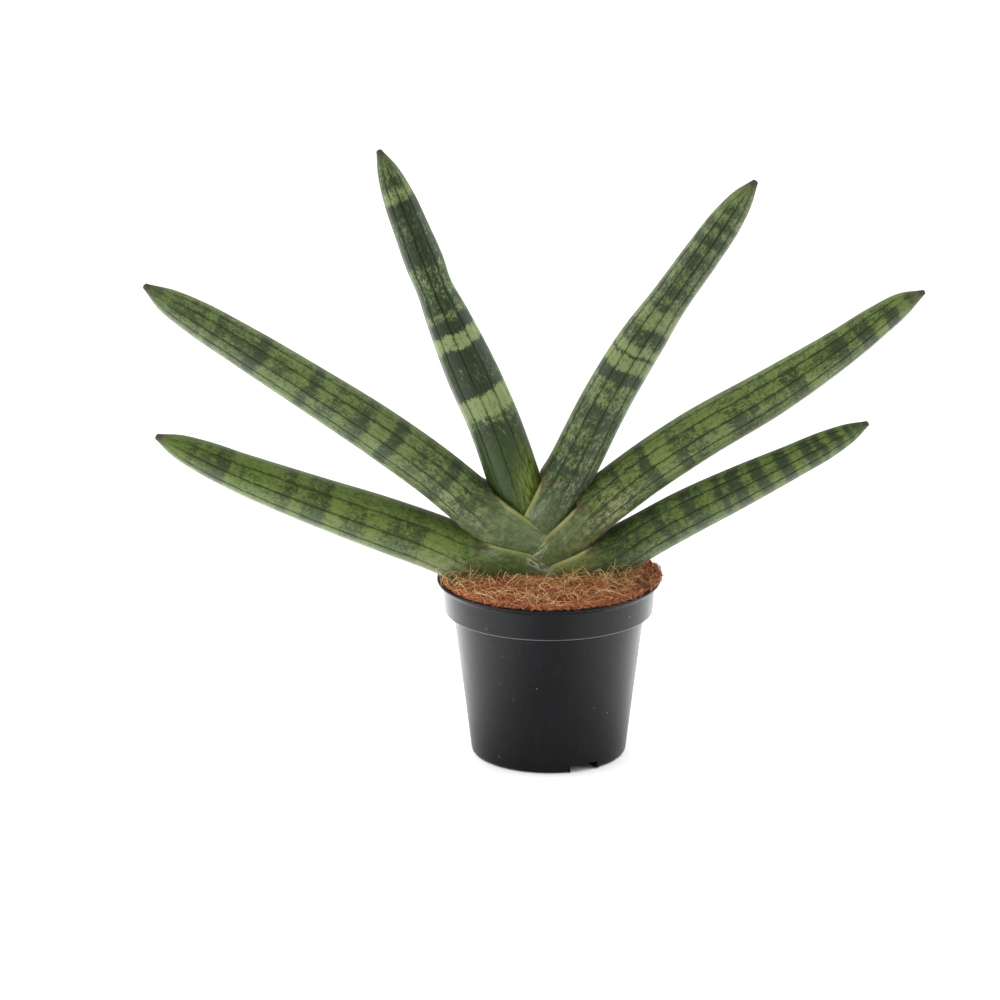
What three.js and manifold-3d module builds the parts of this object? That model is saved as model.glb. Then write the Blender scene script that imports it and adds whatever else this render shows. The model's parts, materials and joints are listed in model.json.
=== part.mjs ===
// Cylindrical snake plant in a black 12 cm nursery pot: six round, grooved leaves stand in one flat
// fan on a short rhizome, each leaf clasping the younger ones with its sheath, in a plug of coir.
// Millimetres, +Z up. The origin is the centre of the pot's foot, +X runs along the fan to the
// right, and -Y is the side from which the fan is looked at.

import * as THREE from "three";
import Module from "manifold-3d";

const wasm = await Module();
wasm.setup();

// ---------------------------------------------------------------- driving dimensions

// Pot: one thin moulding with a tapered body, a straight collar, a flat lip and a flat foot.
const RIM_Z = 97.3; // top of the lip
const LIP_RADIUS = 60; // a 12 cm pot
const LIP_THICK = 1.3;
const LIP_INNER_RADIUS = 57.2;
const LIP_FLARE = 3; // the wall runs out into the lip over this height
const COLLAR_RADIUS = 57; // outside of the collar, at the lip
const COLLAR_DRAFT = 1.2; // how much narrower the collar is at its lower edge
const COLLAR_BOTTOM_Z = 79.4;
const BODY_TOP_RADIUS = 51.3;
const FOOT_RADIUS = 41.2;
const FOOT_ROUND = 3; // round between the wall and the foot
const WALL = 1.0;
const POT_SIDES = 44;

// Drainage channels: opposite notches pressed into the foot's edge, with a raised cover inside.
const CHANNEL_COUNT = 2;
const CHANNEL_FIRST_DEG = -63; // direction of the first one, from +X
const CHANNEL_WIDTH = 16;
const CHANNEL_HEIGHT = 4.2;
const CHANNEL_DEPTH = 12.5; // inwards from the foot's edge
const DRAIN_RADIUS = 3; // hole through each channel's cover

// Coir plug: fills the pot, is domed a little and is heaped against the leaves on the right.
const GAP = 0.3; // between neighbouring solids
const COIR_EDGE_Z = 96.5;
const COIR_EDGE_RADIUS = 56.4;
const COIR_DOME = 5.5;
const COIR_HEAP = { x: 45, y: 12, height: 5, spread: 14 };
const COIR_ROUGHNESS = 0.9;
const COIR_RINGS = 8;
const COIR_SIDES = 32;
const FIBRE_COUNT = 34;
const FIBRE_RADIUS = 0.55;
const FIBRE_REACH = 49; // loose fibres stay within this radius
const FIBRE_LENGTHS = [6, 15];
const FIBRE_RISES = [2, 6]; // how high they stand above the surface
const FIBRE_SUNK = 1.5; // how deep their roots are under it
const FIBRE_FREE_SHARE = 0.3; // these have one free end
const FIBRE_SEED = 7;

// Leaves: each station is [x, z, width] on the centre line, from the tip to the base. `lean` is how
// far the tip stands behind the fan's plane. `grooves` run lengthwise, `firstGroove` is the angle
// of one of them from the leaf's upper edge, over the front, and `twist` is how much less that
// angle is at the tip. `margin` is the sheath's edge on the front, from the leaf's upper edge down.
// The list runs from the innermost, youngest leaf to the outermost, oldest one.
const LEAVES = [
  {
    name: "leaf_left_high", side: 1, lean: 6, grooves: 10, firstGroove: 91, twist: 16,
    stations: [
      [-89.7, 330.4, 3.6], [-86.1, 321.9, 10.5], [-80.9, 309, 16], [-72.3, 287, 19.3],
      [-65.3, 268.8, 20.7], [-61.9, 259.6, 19.6], [-54.1, 241.2, 23.3], [-42, 212.9, 27.7],
      [-29.4, 183.6, 28], [-18.6, 151.6, 28.3], [-9, 118, 27], [-4, 86, 24],
    ],
    margin: [],
  },
  {
    name: "leaf_right_high", side: -1, lean: -6, grooves: 11, firstGroove: 94, twist: 15,
    stations: [
      [107.8, 316.9, 3.8], [102.2, 309.2, 11.3], [94.1, 297.3, 16.8], [80.7, 277.4, 19.3],
      [61.7, 249.4, 20.8], [51.3, 233.3, 23.9], [32.2, 200.4, 26], [13.4, 161.6, 26.7],
      [3.2, 140.4, 26.7], [-1, 114, 26], [0, 86, 24],
    ],
    margin: [[-3.9, 153.6], [-13, 136.5]],
  },
  {
    name: "leaf_left_middle", side: 1, lean: -10, grooves: 12, firstGroove: 92, twist: 0,
    stations: [
      [-213.1, 261.3, 3.6], [-203.6, 254.5, 12.5], [-189, 245.1, 18.2], [-165, 229.4, 21.8],
      [-127.9, 204.5, 24.9], [-88, 176.9, 27.1], [-54.8, 151.2, 27.4], [-36.9, 134.8, 27.2],
      [-17, 110, 27], [-8, 86, 24],
    ],
    margin: [[-28.3, 145.8], [-14, 135.8], [-1.2, 127.2]],
  },
  {
    name: "leaf_right_middle", side: -1, lean: 8, grooves: 12, firstGroove: 84, twist: 22,
    stations: [
      [198, 253, 3.2], [188.6, 247.8, 11.7], [175.5, 238.7, 16.7], [154.2, 223, 20.7],
      [119.2, 200, 25.6], [75.4, 173.9, 27.8], [38.6, 147.6, 27.5], [19.2, 130.9, 27.2],
      [7, 110, 27], [4, 86, 24],
    ],
    margin: [[15.2, 140.7], [-1.8, 125], [-9.9, 116.5]],
  },
  {
    name: "leaf_left_low", side: 1, lean: 4, grooves: 10, firstGroove: 89, twist: 5,
    stations: [
      [-208.5, 174.2, 3.9], [-199.8, 170.3, 11.7], [-186.7, 164.5, 17.3], [-165.3, 155.1, 21.5],
      [-126.9, 140.4, 26.3], [-85.5, 125.6, 29.9], [-61.7, 116.8, 30.3], [-42.3, 108.5, 30],
      [-22, 98, 28], [-11, 87, 25],
    ],
    margin: [[-35.8, 121.5], [-10.7, 115.4], [1.5, 110.1]],
  },
  {
    name: "leaf_right_low", side: -1, lean: -8, grooves: 11, firstGroove: 82, twist: 18,
    stations: [
      [168.3, 185.1, 3.4], [161.9, 181.3, 9], [148.8, 173.9, 14.9], [128.7, 163, 18.4],
      [100.7, 148.3, 22.7], [71.7, 132.9, 25.1], [46.1, 117.9, 25.4], [27.3, 106.8, 25.2],
      [14, 97, 26], [7, 87, 25],
    ],
    margin: [[22.7, 118.7], [1.5, 109.6], [-4.4, 103]],
  },
];
const BLADE_SECTIONS = [0, 0.03, 0.08, 0.15, 0.26, 0.4, 0.56, 0.72, 0.87]; // tip to flare
const SHEATH_SECTIONS = [0, 0.24, 0.55, 1]; // margin's upper end to base
const LEAF_ROUNDNESS = 0.9; // a blade's depth over its width
const GROOVE_DEPTH = 0.55;
const GROOVE_HALF_WIDTH_DEG = 3.4;
const WIDE_LAND_DEG = 34;
const GROOVE_FADE_IN = [0.05, 0.15]; // shares of the leaf, from the tip
const GROOVE_FADE_OUT = [0.7, 0.82];
const TWIST_REACH = 0.12; // share of the leaf over which its twist dies away
const TIP_CAP = 1.5; // length of the dry tip's blunt end,
const TIP_SHOULDER = { back: 1.2, scale: 0.72 }; // which has one smaller section
const SHEATH_HALF_DEPTHS = [12, 14.8, 16, 17.2, 18.4, 19.6]; // of each leaf's base, in the same order
const SHEATH_RUN = 35; // a blade gets as deep as its sheath over this length above the margin
const FLARE_RUN = 9; // it starts to widen this far above the margin
const SPREAD_RUN = 13; // and has its sheath's full section this far below the margin's upper end
const SPREAD_START = 1.16; // the sheath's width before it is opened, over that at its margin,
const SPREAD_END = 1.35; // at the margin's upper end and SPREAD_RUN below it
const SHEATH_FULLNESS = 4; // power of the sheath's rounded section; 2 is an ellipse
const MARGIN_RUN_OUT = 15; // the margin goes on this far under the next leaf
const EDGE_CLEARANCE = 0.15;
const OPENING_REACH = 90; // well past the leaves on the open side

// Rhizome: a short woody stem under the leaves, with roots hanging in the plug's hole.
const RHIZOME_CENTRE = [-1, 0, 72];
const RHIZOME_RADII = [18, 14, 13];
const ROOT_COUNT = 8;
const ROOT_RADIUS = 1.4;
const ROOT_LENGTHS = [22, 30];
const ROOT_SPREADS = [14, 18]; // how far out they hang
const ROOT_SEED = 8;
const HOLE_PROFILE = [[0, 26], [19, 28], [23, 40], [23, 70], [17, 88], [0, 88]]; // radius, z

const COLOURS = {
  pot: "#1c1d1f", coir: "#a8683f", rhizome: "#b98a52", leaf: "#5d7a43",
};

// ---------------------------------------------------------------- small helpers

const rad = THREE.MathUtils.degToRad;
const { clamp, lerp, smoothstep } = THREE.MathUtils;

// A repeatable stream of random numbers from 0 to 1.
function randomStream(seed) {
  let state = seed;
  return () => {
    state = (Math.imul(state, 1664525) + 1013904223) >>> 0;
    return state / 4294967296;
  };
}

// A closed surface from [x, y, z] points and triangles, as a solid.
function solidOf(points, triangles) {
  return new wasm.Manifold(new wasm.Mesh({
    numProp: 3,
    vertProperties: new Float32Array(points.flat()),
    triVerts: new Uint32Array(triangles.flat()),
  }));
}

// A closed three.js geometry as a solid: equal corners are merged first.
function solidOfGeometry(geometry) {
  const position = (geometry.index ? geometry.toNonIndexed() : geometry).getAttribute("position");
  const known = new Map();
  const points = [];
  const merged = [];
  for (let i = 0; i < position.count; i += 1) {
    const p = [position.getX(i), position.getY(i), position.getZ(i)];
    const key = p.map((v) => Math.round(v * 1e4)).join();
    if (!known.has(key)) {
      known.set(key, points.length);
      points.push(p);
    }
    merged.push(known.get(key));
  }
  const triangles = [];
  for (let i = 0; i < merged.length; i += 3) {
    const [a, b, c] = merged.slice(i, i + 3);
    if (a !== b && b !== c && c !== a) triangles.push([a, b, c]);
  }
  return solidOf(points, triangles);
}

// The largest of a solid's separate bodies.
function largestBody(solid) {
  return solid.decompose().sort((a, b) => b.volume() - a.volume())[0];
}

// A solid as a named mesh with its own material.
function meshOf(name, solid, colour, roughness) {
  const { numProp, vertProperties, triVerts } = solid.getMesh();
  const geometry = new THREE.BufferGeometry();
  const corners = new Float32Array((vertProperties.length / numProp) * 3);
  for (let i = 0; i * numProp < vertProperties.length; i += 1) {
    corners.set(vertProperties.subarray(i * numProp, i * numProp + 3), i * 3);
  }
  geometry.setAttribute("position", new THREE.BufferAttribute(corners, 3));
  geometry.setIndex(new THREE.BufferAttribute(new Uint32Array(triVerts), 1));
  geometry.computeVertexNormals();
  const material = new THREE.MeshStandardMaterial({ color: colour, roughness, metalness: 0 });
  const mesh = new THREE.Mesh(geometry, material);
  mesh.name = name;
  return mesh;
}

// A solid of revolution about +Z from [radius, z] pairs that start and end on the axis, or that
// close on themselves.
function lathe(profile, sides) {
  const outline = profile.map(([r, z]) => new THREE.Vector2(r, z));
  return solidOfGeometry(new THREE.LatheGeometry(outline, sides).rotateX(Math.PI / 2));
}

// A box between two corners, turned about +Z.
function box(low, high, turn = 0) {
  const size = high.map((v, i) => v - low[i]);
  const geometry = new THREE.BoxGeometry(...size);
  geometry.translate(...low.map((v, i) => v + size[i] / 2));
  return solidOfGeometry(geometry.rotateZ(turn));
}

// Rings of points joined into a tube, with a point or a flat fan closing each end. `turn` is 1
// where a ring runs anticlockwise about the direction from the first ring to the last, else -1.
function tube(rings, firstEnd, lastEnd, turn) {
  const sides = rings[0].length;
  const points = [...rings.flat(), firstEnd, lastEnd];
  const triangles = [];
  const add = (a, b, c) => triangles.push(turn > 0 ? [a, b, c] : [a, c, b]);
  for (let j = 0; j < sides; j += 1) {
    const k = (j + 1) % sides;
    for (let i = 0; i + 1 < rings.length; i += 1) {
      const [a, b] = [i * sides + j, i * sides + k];
      add(a, b, b + sides);
      add(a, b + sides, a + sides);
    }
    const last = (rings.length - 1) * sides;
    add(j, points.length - 2, k);
    add(last + j, last + k, points.length - 1);
  }
  return solidOf(points, triangles);
}

// The corners of a regular polygon, anticlockwise from +X.
function circle(sides, radius) {
  return Array.from({ length: sides }, (_, i) => {
    const a = (i / sides) * 2 * Math.PI;
    return [radius * Math.cos(a), radius * Math.sin(a)];
  });
}

// A round strand along a path of points.
function strand(path, radius, sides, steps) {
  const section = new THREE.Shape(circle(sides, radius).map(([x, y]) => new THREE.Vector2(x, y)));
  const extrudePath = new THREE.CatmullRomCurve3(path);
  const options = { steps, extrudePath, bevelEnabled: false };
  return solidOfGeometry(new THREE.ExtrudeGeometry(section, options));
}

// ---------------------------------------------------------------- leaves

// A leaf's centre line, as a function of the share of the way from tip to base: its place, its
// directions and its half width.
function centreLine({ stations, side, lean }) {
  const curve = new THREE.CatmullRomCurve3(
    stations.map(([x, z, width]) => new THREE.Vector3(x, z, width / 2)), false, "chordal");
  return (share) => {
    const at = curve.getPointAt(share);
    const along = curve.getTangentAt(share);
    const length = Math.hypot(along.x, along.y);
    const [dx, dz] = [along.x / length, along.y / length];
    return {
      centre: [at.x, lean * (1 - share) ** 2, at.y],
      along: [dx, 0, dz],
      up: [-dz * side, 0, dx * side], // towards the leaf's upper edge
      halfWidth: at.z,
    };
  };
}

// A point of the leaf's front as [share, reach]: how far down the leaf and how far above its
// centre line it lies.
function placeInLeaf(line, [x, z]) {
  let [best, nearest] = [1, Infinity];
  for (let share = 0.5; share <= 1; share += 0.002) {
    const { centre } = line(share);
    const distance = Math.hypot(centre[0] - x, centre[2] - z);
    if (distance < nearest) [best, nearest] = [share, distance];
  }
  return [best, nearest];
}

// The angles of a ring's corners, from the leaf's upper edge over the front: each groove has its
// bottom and two shoulders, and a wide land between two grooves has one corner more.
function grooveCorners(leaf) {
  const pitch = 360 / leaf.grooves;
  const corners = [];
  for (let g = 0; g < leaf.grooves; g += 1) {
    const bottom = leaf.firstGroove + g * pitch;
    corners.push({ angle: bottom - GROOVE_HALF_WIDTH_DEG, depth: 0 });
    corners.push({ angle: bottom, depth: GROOVE_DEPTH });
    corners.push({ angle: bottom + GROOVE_HALF_WIDTH_DEG, depth: 0 });
    if (pitch > WIDE_LAND_DEG) corners.push({ angle: bottom + pitch / 2, depth: 0 });
  }
  return corners;
}

// What the sections of one leaf are made from.
function leafPlan(leaf, order) {
  const line = centreLine(leaf);
  const length = new THREE.CatmullRomCurve3(
    leaf.stations.map(([x, z]) => new THREE.Vector3(x, 0, z))).getLength();
  const outline = leaf.margin.length ? [...leaf.margin, marginEnd(leaf, MARGIN_RUN_OUT)] : [];
  const margin = outline.map((point) => placeInLeaf(line, point));
  const sheathShare = margin.length ? margin[0][0] : 1 - SHEATH_RUN / length;
  return { leaf, line, length, margin, sheathShare, baseHalfDepth: SHEATH_HALF_DEPTHS[order] };
}

// The margin's last stretch, drawn on by a distance to where it is hidden.
function marginEnd({ margin }, distance) {
  const [[x0, z0], [x1, z1]] = margin.slice(-2);
  const scale = distance / Math.hypot(x1 - x0, z1 - z0);
  return [x1 + (x1 - x0) * scale, z1 + (z1 - z0) * scale];
}

// How far a leaf's section reaches above its centre line: a blade is symmetrical, and a sheath is
// wider than its margin, so that it still lies in front of the younger leaves there.
function upperReach({ line, length, margin, sheathShare }, share) {
  const { halfWidth } = line(share);
  if (!margin.length) return halfWidth;
  const next = margin.findIndex(([at]) => at > share); // -1 beyond them all: the last one holds
  let reach = margin.at(next)[1];
  if (next > 0) {
    const [[from, low], [to, high]] = [margin[next - 1], margin[next]];
    reach = lerp(low, high, (share - from) / (to - from));
  }
  const spread = lerp(SPREAD_START, SPREAD_END,
    smoothstep(share, sheathShare, sheathShare + SPREAD_RUN / length));
  return lerp(halfWidth, Math.max(halfWidth, reach * spread),
    smoothstep(share, sheathShare - FLARE_RUN / length, sheathShare));
}

// The whole leaf before its sheath is opened. `grow` makes a smooth outline that much larger all
// round, which is what a leaf cuts out of its neighbours.
function bladeSolid(plan, grow) {
  const { leaf, line, length, sheathShare, baseHalfDepth } = plan;
  const corners = grooveCorners(leaf);

  const ring = (share, scale = 1, back = 0) => {
    const { centre, along, up, halfWidth } = line(share);
    const above = upperReach(plan, share);
    const sheath = smoothstep(share, sheathShare - SHEATH_RUN / length, sheathShare);
    const halfDepth = lerp(LEAF_ROUNDNESS * halfWidth, baseHalfDepth, sheath);
    const fullness = lerp(2, SHEATH_FULLNESS,
      smoothstep(share, sheathShare - SPREAD_RUN / length, sheathShare + SPREAD_RUN / length));
    const grooved = grow > 0 ? 0 : smoothstep(share, ...GROOVE_FADE_IN)
      * (1 - smoothstep(share, ...GROOVE_FADE_OUT));
    return corners.map(({ angle, depth }) => {
      const turned = rad(angle - leaf.twist * Math.exp(-share / TWIST_REACH));
      const [c, s] = [Math.cos(turned), Math.sin(turned)];
      const power = c > 0 ? fullness : 2;
      const reach = (Math.abs(c) ** power + Math.abs(s) ** power) ** (-1 / power);
      const t = ((c > 0 ? above : halfWidth) * reach - depth * grooved + grow) * c * scale;
      const w = (halfDepth * reach - depth * grooved + grow) * s * scale;
      return centre.map((v, i) => v + up[i] * t - along[i] * back - (i === 1 ? w : 0));
    });
  };

  const flareShare = sheathShare - FLARE_RUN / length;
  const shares = [
    ...BLADE_SECTIONS.map((part) => part * flareShare), flareShare,
    ...SHEATH_SECTIONS.map((part) => lerp(sheathShare, 1, part)),
  ];
  const shoulder = ring(0, TIP_SHOULDER.scale, TIP_SHOULDER.back);
  const rings = [shoulder, ...shares.map((share) => ring(share))];
  if (grow > 0) rings.push(ring(1, 1, -grow));
  const pole = ({ centre, along }, back) => centre.map((v, i) => v - along[i] * back);
  return tube(rings, pole(line(0), TIP_CAP + grow), pole(line(1), -grow), leaf.side);
}

// What opens a sheath: everything on the inner side of its margin, right through the leaf. Above
// the margin it runs along the blade's upper edge, so that the blade stays whole.
function sheathOpening({ leaf, line, length, sheathShare }, shift) {
  const inFront = (share, beyond) => {
    const { centre, up, halfWidth } = line(share);
    const reach = halfWidth + beyond;
    return new THREE.Vector2(centre[0] + up[0] * reach, centre[2] + up[2] * reach);
  };
  const edge = [1.2, 0.8, 0.4, 0.1].map((runs) =>
    inFront(sheathShare - (runs * FLARE_RUN) / length, EDGE_CLEARANCE + shift));
  const { up } = line(sheathShare);
  const inwards = new THREE.Vector2(up[0], up[2]);
  const margin = leaf.margin.map(([x, z]) => new THREE.Vector2(x, z).addScaledVector(inwards, shift));
  const end = new THREE.Vector2(...marginEnd(leaf, OPENING_REACH)).addScaledVector(inwards, shift);
  const [start, corner] = [edge[0], end].map((p) => p.clone().addScaledVector(inwards, OPENING_REACH));
  const outline = [start, ...edge, ...margin, end, corner];
  const depth = 2 * LIP_RADIUS; // deeper than any leaf
  const geometry = new THREE.ExtrudeGeometry(new THREE.Shape(outline), { depth, bevelEnabled: false });
  geometry.translate(0, 0, -depth / 2).rotateX(Math.PI / 2);
  return solidOfGeometry(geometry);
}

function openLeaf(plan, grow) {
  const blade = bladeSolid(plan, grow);
  return plan.margin.length ? blade.subtract(sheathOpening(plan, grow)) : blade;
}

const PLANS = LEAVES.map(leafPlan);

// Every leaf, from the innermost outwards: an older leaf gives way to all the younger ones, so
// its base is a sheath folded round theirs.
function leafSolids() {
  const clearances = PLANS.map((plan) => openLeaf(plan, GAP));
  return PLANS.map((plan, order) => {
    let solid = openLeaf(plan, 0);
    clearances.slice(0, order).forEach((younger) => {
      solid = solid.subtract(younger);
    });
    return largestBody(solid);
  });
}

// Every leaf's outline with room round it, for what holds the leaves.
function leafRoom(grow) {
  return PLANS.map((plan) => openLeaf(plan, grow)).reduce((a, b) => a.add(b));
}

// ---------------------------------------------------------------- pot

// The room of one drainage channel, larger all round by a margin.
function channelBox(index, margin) {
  const turn = rad(CHANNEL_FIRST_DEG + (index * 360) / CHANNEL_COUNT);
  const inner = FOOT_RADIUS - CHANNEL_DEPTH - margin;
  const half = CHANNEL_WIDTH / 2 + margin;
  return box([inner, -half, -1], [FOOT_RADIUS + 4, half, CHANNEL_HEIGHT + margin], turn);
}

// The radius of the pot's tapered body, outside.
function bodyRadius(z) {
  return lerp(FOOT_RADIUS, BODY_TOP_RADIUS, (z - FOOT_ROUND) / (COLLAR_BOTTOM_Z - FOOT_ROUND));
}

// The pot: one turned shell, with the covers of its drainage channels joined to the floor.
function potSolid() {
  const collarLow = COLLAR_RADIUS - COLLAR_DRAFT;
  const footRound = [20, 45, 70].map((deg) => [
    FOOT_RADIUS - FOOT_ROUND * (1 - Math.sin(rad(deg))), FOOT_ROUND * (1 - Math.cos(rad(deg))),
  ]);
  const outside = [
    [0, 0], [FOOT_RADIUS - FOOT_ROUND, 0], ...footRound, [FOOT_RADIUS, FOOT_ROUND],
    [BODY_TOP_RADIUS, COLLAR_BOTTOM_Z], [collarLow - 0.5, COLLAR_BOTTOM_Z],
    [collarLow, COLLAR_BOTTOM_Z + 0.5], [COLLAR_RADIUS, RIM_Z - LIP_FLARE],
    [LIP_RADIUS - 0.4, RIM_Z - LIP_THICK], [LIP_RADIUS, RIM_Z - LIP_THICK + 0.4],
    [LIP_RADIUS, RIM_Z - 0.4], [LIP_RADIUS - 0.4, RIM_Z],
  ];
  const inside = [
    [LIP_INNER_RADIUS, RIM_Z], [COLLAR_RADIUS - WALL, RIM_Z - LIP_FLARE],
    [collarLow - WALL, COLLAR_BOTTOM_Z + WALL],
    [BODY_TOP_RADIUS - WALL, COLLAR_BOTTOM_Z + WALL], [FOOT_RADIUS - WALL, FOOT_ROUND + 0.6],
    [FOOT_RADIUS - WALL - 1.2, WALL], [0, WALL],
  ];
  let pot = lathe([...outside, ...inside], POT_SIDES);
  const coverTop = 2 * CHANNEL_HEIGHT; // the covers are clipped to the middle of the wall and floor
  const insideOfPot = lathe([
    [0, WALL / 2], [FOOT_RADIUS - 2 * WALL, WALL / 2], [bodyRadius(coverTop) - WALL / 2, coverTop],
    [0, coverTop],
  ], POT_SIDES);
  for (let i = 0; i < CHANNEL_COUNT; i += 1) {
    pot = pot.add(channelBox(i, WALL).intersect(insideOfPot));
  }
  const drain = new THREE.CylinderGeometry(DRAIN_RADIUS, DRAIN_RADIUS, 4, 16).rotateX(Math.PI / 2);
  drain.translate(FOOT_RADIUS - 0.55 * CHANNEL_DEPTH, 0, CHANNEL_HEIGHT + WALL / 2);
  for (let i = 0; i < CHANNEL_COUNT; i += 1) {
    const turn = rad(CHANNEL_FIRST_DEG + (i * 360) / CHANNEL_COUNT);
    pot = pot.subtract(channelBox(i, 0)).subtract(solidOfGeometry(drain.clone().rotateZ(turn)));
  }
  return pot;
}

// ---------------------------------------------------------------- rhizome

// The rhizome with its roots, cut back from the leaves that stand on it.
function rhizomeSolid() {
  const [cx, cy, cz] = RHIZOME_CENTRE;
  const stem = new THREE.SphereGeometry(1, 14, 9).rotateX(Math.PI / 2);
  stem.scale(...RHIZOME_RADII).translate(cx, cy, cz);
  let rhizome = solidOfGeometry(stem);
  const random = randomStream(ROOT_SEED);
  for (let i = 0; i < ROOT_COUNT; i += 1) {
    const turn = ((i + 0.3 * random()) / ROOT_COUNT) * 2 * Math.PI;
    const out = lerp(...ROOT_SPREADS, random());
    const down = lerp(...ROOT_LENGTHS, random());
    const path = [[0.35, 4], [0.8, -6], [1, -6 - 0.55 * down], [0.85, -6 - down]].map(([far, z]) =>
      new THREE.Vector3(cx + Math.cos(turn) * out * far, cy + Math.sin(turn) * out * far, cz + z));
    rhizome = rhizome.add(strand(path, ROOT_RADIUS, 5, 4));
  }
  return largestBody(rhizome.subtract(leafRoom(GAP)));
}

// ---------------------------------------------------------------- coir

// The height of the coir's surface: a low dome, a heap on the right and small lumps.
function coirHeight(x, y) {
  const r = clamp(Math.hypot(x, y) / COIR_EDGE_RADIUS, 0, 1);
  const away = Math.hypot(x - COIR_HEAP.x, y - COIR_HEAP.y) / COIR_HEAP.spread;
  const lumps = Math.sin(x * 0.41 + 1) * Math.cos(y * 0.47) + 0.6 * Math.sin(0.9 * x - 0.8 * y);
  return COIR_EDGE_Z + COIR_DOME * (1 - r ** 3)
    + (COIR_ROUGHNESS * lumps + COIR_HEAP.height * Math.exp(-away * away)) * (1 - r ** 6);
}

// The plug below its loose surface: it follows the pot's inner wall, a gap inside it.
function plugSolid() {
  const wall = WALL + GAP + 0.1;
  const collarLow = COLLAR_RADIUS - COLLAR_DRAFT;
  const side = [
    [COLLAR_RADIUS - wall, COIR_EDGE_Z - LIP_FLARE + 1], [collarLow - wall, COLLAR_BOTTOM_Z + wall],
    [BODY_TOP_RADIUS - wall, COLLAR_BOTTOM_Z + wall], [FOOT_RADIUS - wall, FOOT_ROUND + 1],
    [FOOT_RADIUS - wall - 1.4, wall],
  ];
  const rings = [];
  for (let i = 1; i <= COIR_RINGS; i += 1) {
    const corners = circle(COIR_SIDES, COIR_EDGE_RADIUS * (i / COIR_RINGS) ** 0.8);
    rings.push(corners.map(([x, y]) => [x, y, coirHeight(x, y)]));
  }
  side.forEach(([radius, z]) => rings.push(circle(COIR_SIDES, radius).map(([x, y]) => [x, y, z])));
  return tube(rings, [0, 0, coirHeight(0, 0)], [0, 0, wall], -1);
}

// One loose fibre: an arch with both roots sunk in the surface, or a tuft with one free end.
function fibreSolid(random) {
  const turn = random() * 2 * Math.PI;
  const far = FIBRE_REACH * Math.sqrt(random());
  const heading = random() * 2 * Math.PI;
  const half = lerp(...FIBRE_LENGTHS, random()) / 2;
  const rise = lerp(...FIBRE_RISES, random());
  const free = random() < FIBRE_FREE_SHARE;
  const path = [-1, -0.35, 0.35, 1].map((step) => {
    const bend = heading + 0.5 * step * (random() - 0.5);
    const x = far * Math.cos(turn) + half * step * Math.cos(bend);
    const y = far * Math.sin(turn) + half * step * Math.sin(bend);
    const pull = Math.min(1, FIBRE_REACH / Math.hypot(x, y));
    const lift = free ? (step + 1) * rise : (1 - step * step) * rise;
    const z = coirHeight(x * pull, y * pull) + lift - FIBRE_SUNK;
    return new THREE.Vector3(x * pull, y * pull, z);
  });
  return strand(path, FIBRE_RADIUS, 3, 4);
}

// The plug with its loose fibres, hollow where the rhizome sits and open where the leaves stand.
function coirSolid() {
  const random = randomStream(FIBRE_SEED);
  let coir = plugSolid();
  for (let i = 0; i < FIBRE_COUNT; i += 1) coir = coir.add(fibreSolid(random));
  for (let i = 0; i < CHANNEL_COUNT; i += 1) coir = coir.subtract(channelBox(i, WALL + GAP));
  coir = coir.subtract(lathe(HOLE_PROFILE, 20));
  return largestBody(coir.subtract(leafRoom(2 * GAP)));
}

// ---------------------------------------------------------------- the plant

const plant = new THREE.Group();
plant.add(meshOf("pot", potSolid(), COLOURS.pot, 0.4));
plant.add(meshOf("coir", coirSolid(), COLOURS.coir, 0.95));
plant.add(meshOf("rhizome", rhizomeSolid(), COLOURS.rhizome, 0.8));
leafSolids().forEach((solid, i) => {
  plant.add(meshOf(LEAVES[i].name, solid, COLOURS.leaf, 0.5));
});

export default plant;
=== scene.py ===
import json
import math
import bmesh
import bpy
import numpy as np
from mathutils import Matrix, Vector
from mathutils.bvhtree import BVHTree

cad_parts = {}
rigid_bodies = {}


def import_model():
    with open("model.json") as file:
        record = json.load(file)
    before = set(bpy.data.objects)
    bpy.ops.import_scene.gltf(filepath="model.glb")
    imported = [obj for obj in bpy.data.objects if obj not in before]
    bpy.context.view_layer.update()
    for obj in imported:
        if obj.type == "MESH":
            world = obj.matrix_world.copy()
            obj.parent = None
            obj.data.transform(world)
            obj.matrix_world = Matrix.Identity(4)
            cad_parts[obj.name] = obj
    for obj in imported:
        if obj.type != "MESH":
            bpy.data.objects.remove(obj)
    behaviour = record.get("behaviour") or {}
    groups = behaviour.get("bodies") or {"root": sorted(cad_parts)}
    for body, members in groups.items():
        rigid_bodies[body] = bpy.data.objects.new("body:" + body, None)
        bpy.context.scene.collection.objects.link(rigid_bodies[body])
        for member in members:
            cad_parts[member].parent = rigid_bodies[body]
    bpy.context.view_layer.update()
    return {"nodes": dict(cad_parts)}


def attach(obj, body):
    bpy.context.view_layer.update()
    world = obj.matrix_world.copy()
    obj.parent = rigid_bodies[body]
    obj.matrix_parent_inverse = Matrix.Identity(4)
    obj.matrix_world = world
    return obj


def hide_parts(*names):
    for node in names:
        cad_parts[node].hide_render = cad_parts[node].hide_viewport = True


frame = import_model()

# ================================================================ pot
# A black nursery pot, injection moulded in polypropylene 1 mm thick: tapered body, straight
# collar, flat lip. Two opposite drainage channels are moulded into the foot's edge, each under a
# low cover with a hole. All sizes below are millimetres.
MM = 0.001
WALL = 1.0
RIM_Z = 97.3
LIP_RADIUS = 60.0
LIP_INNER_RADIUS = 57.2
LIP_THICKNESS = 1.3
COLLAR_TOP_Z = RIM_Z - 3
COLLAR_RADIUS = 57.0
COLLAR_LOW_RADIUS = 55.8
COLLAR_BOTTOM_Z = 79.4
BODY_TOP_RADIUS = 51.3
BODY_LOW_Z = 9.0
FOOT_RADIUS = 41.2
POT_SIDES = 176
CHANNEL_DIRECTIONS = (-63, 117)
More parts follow.
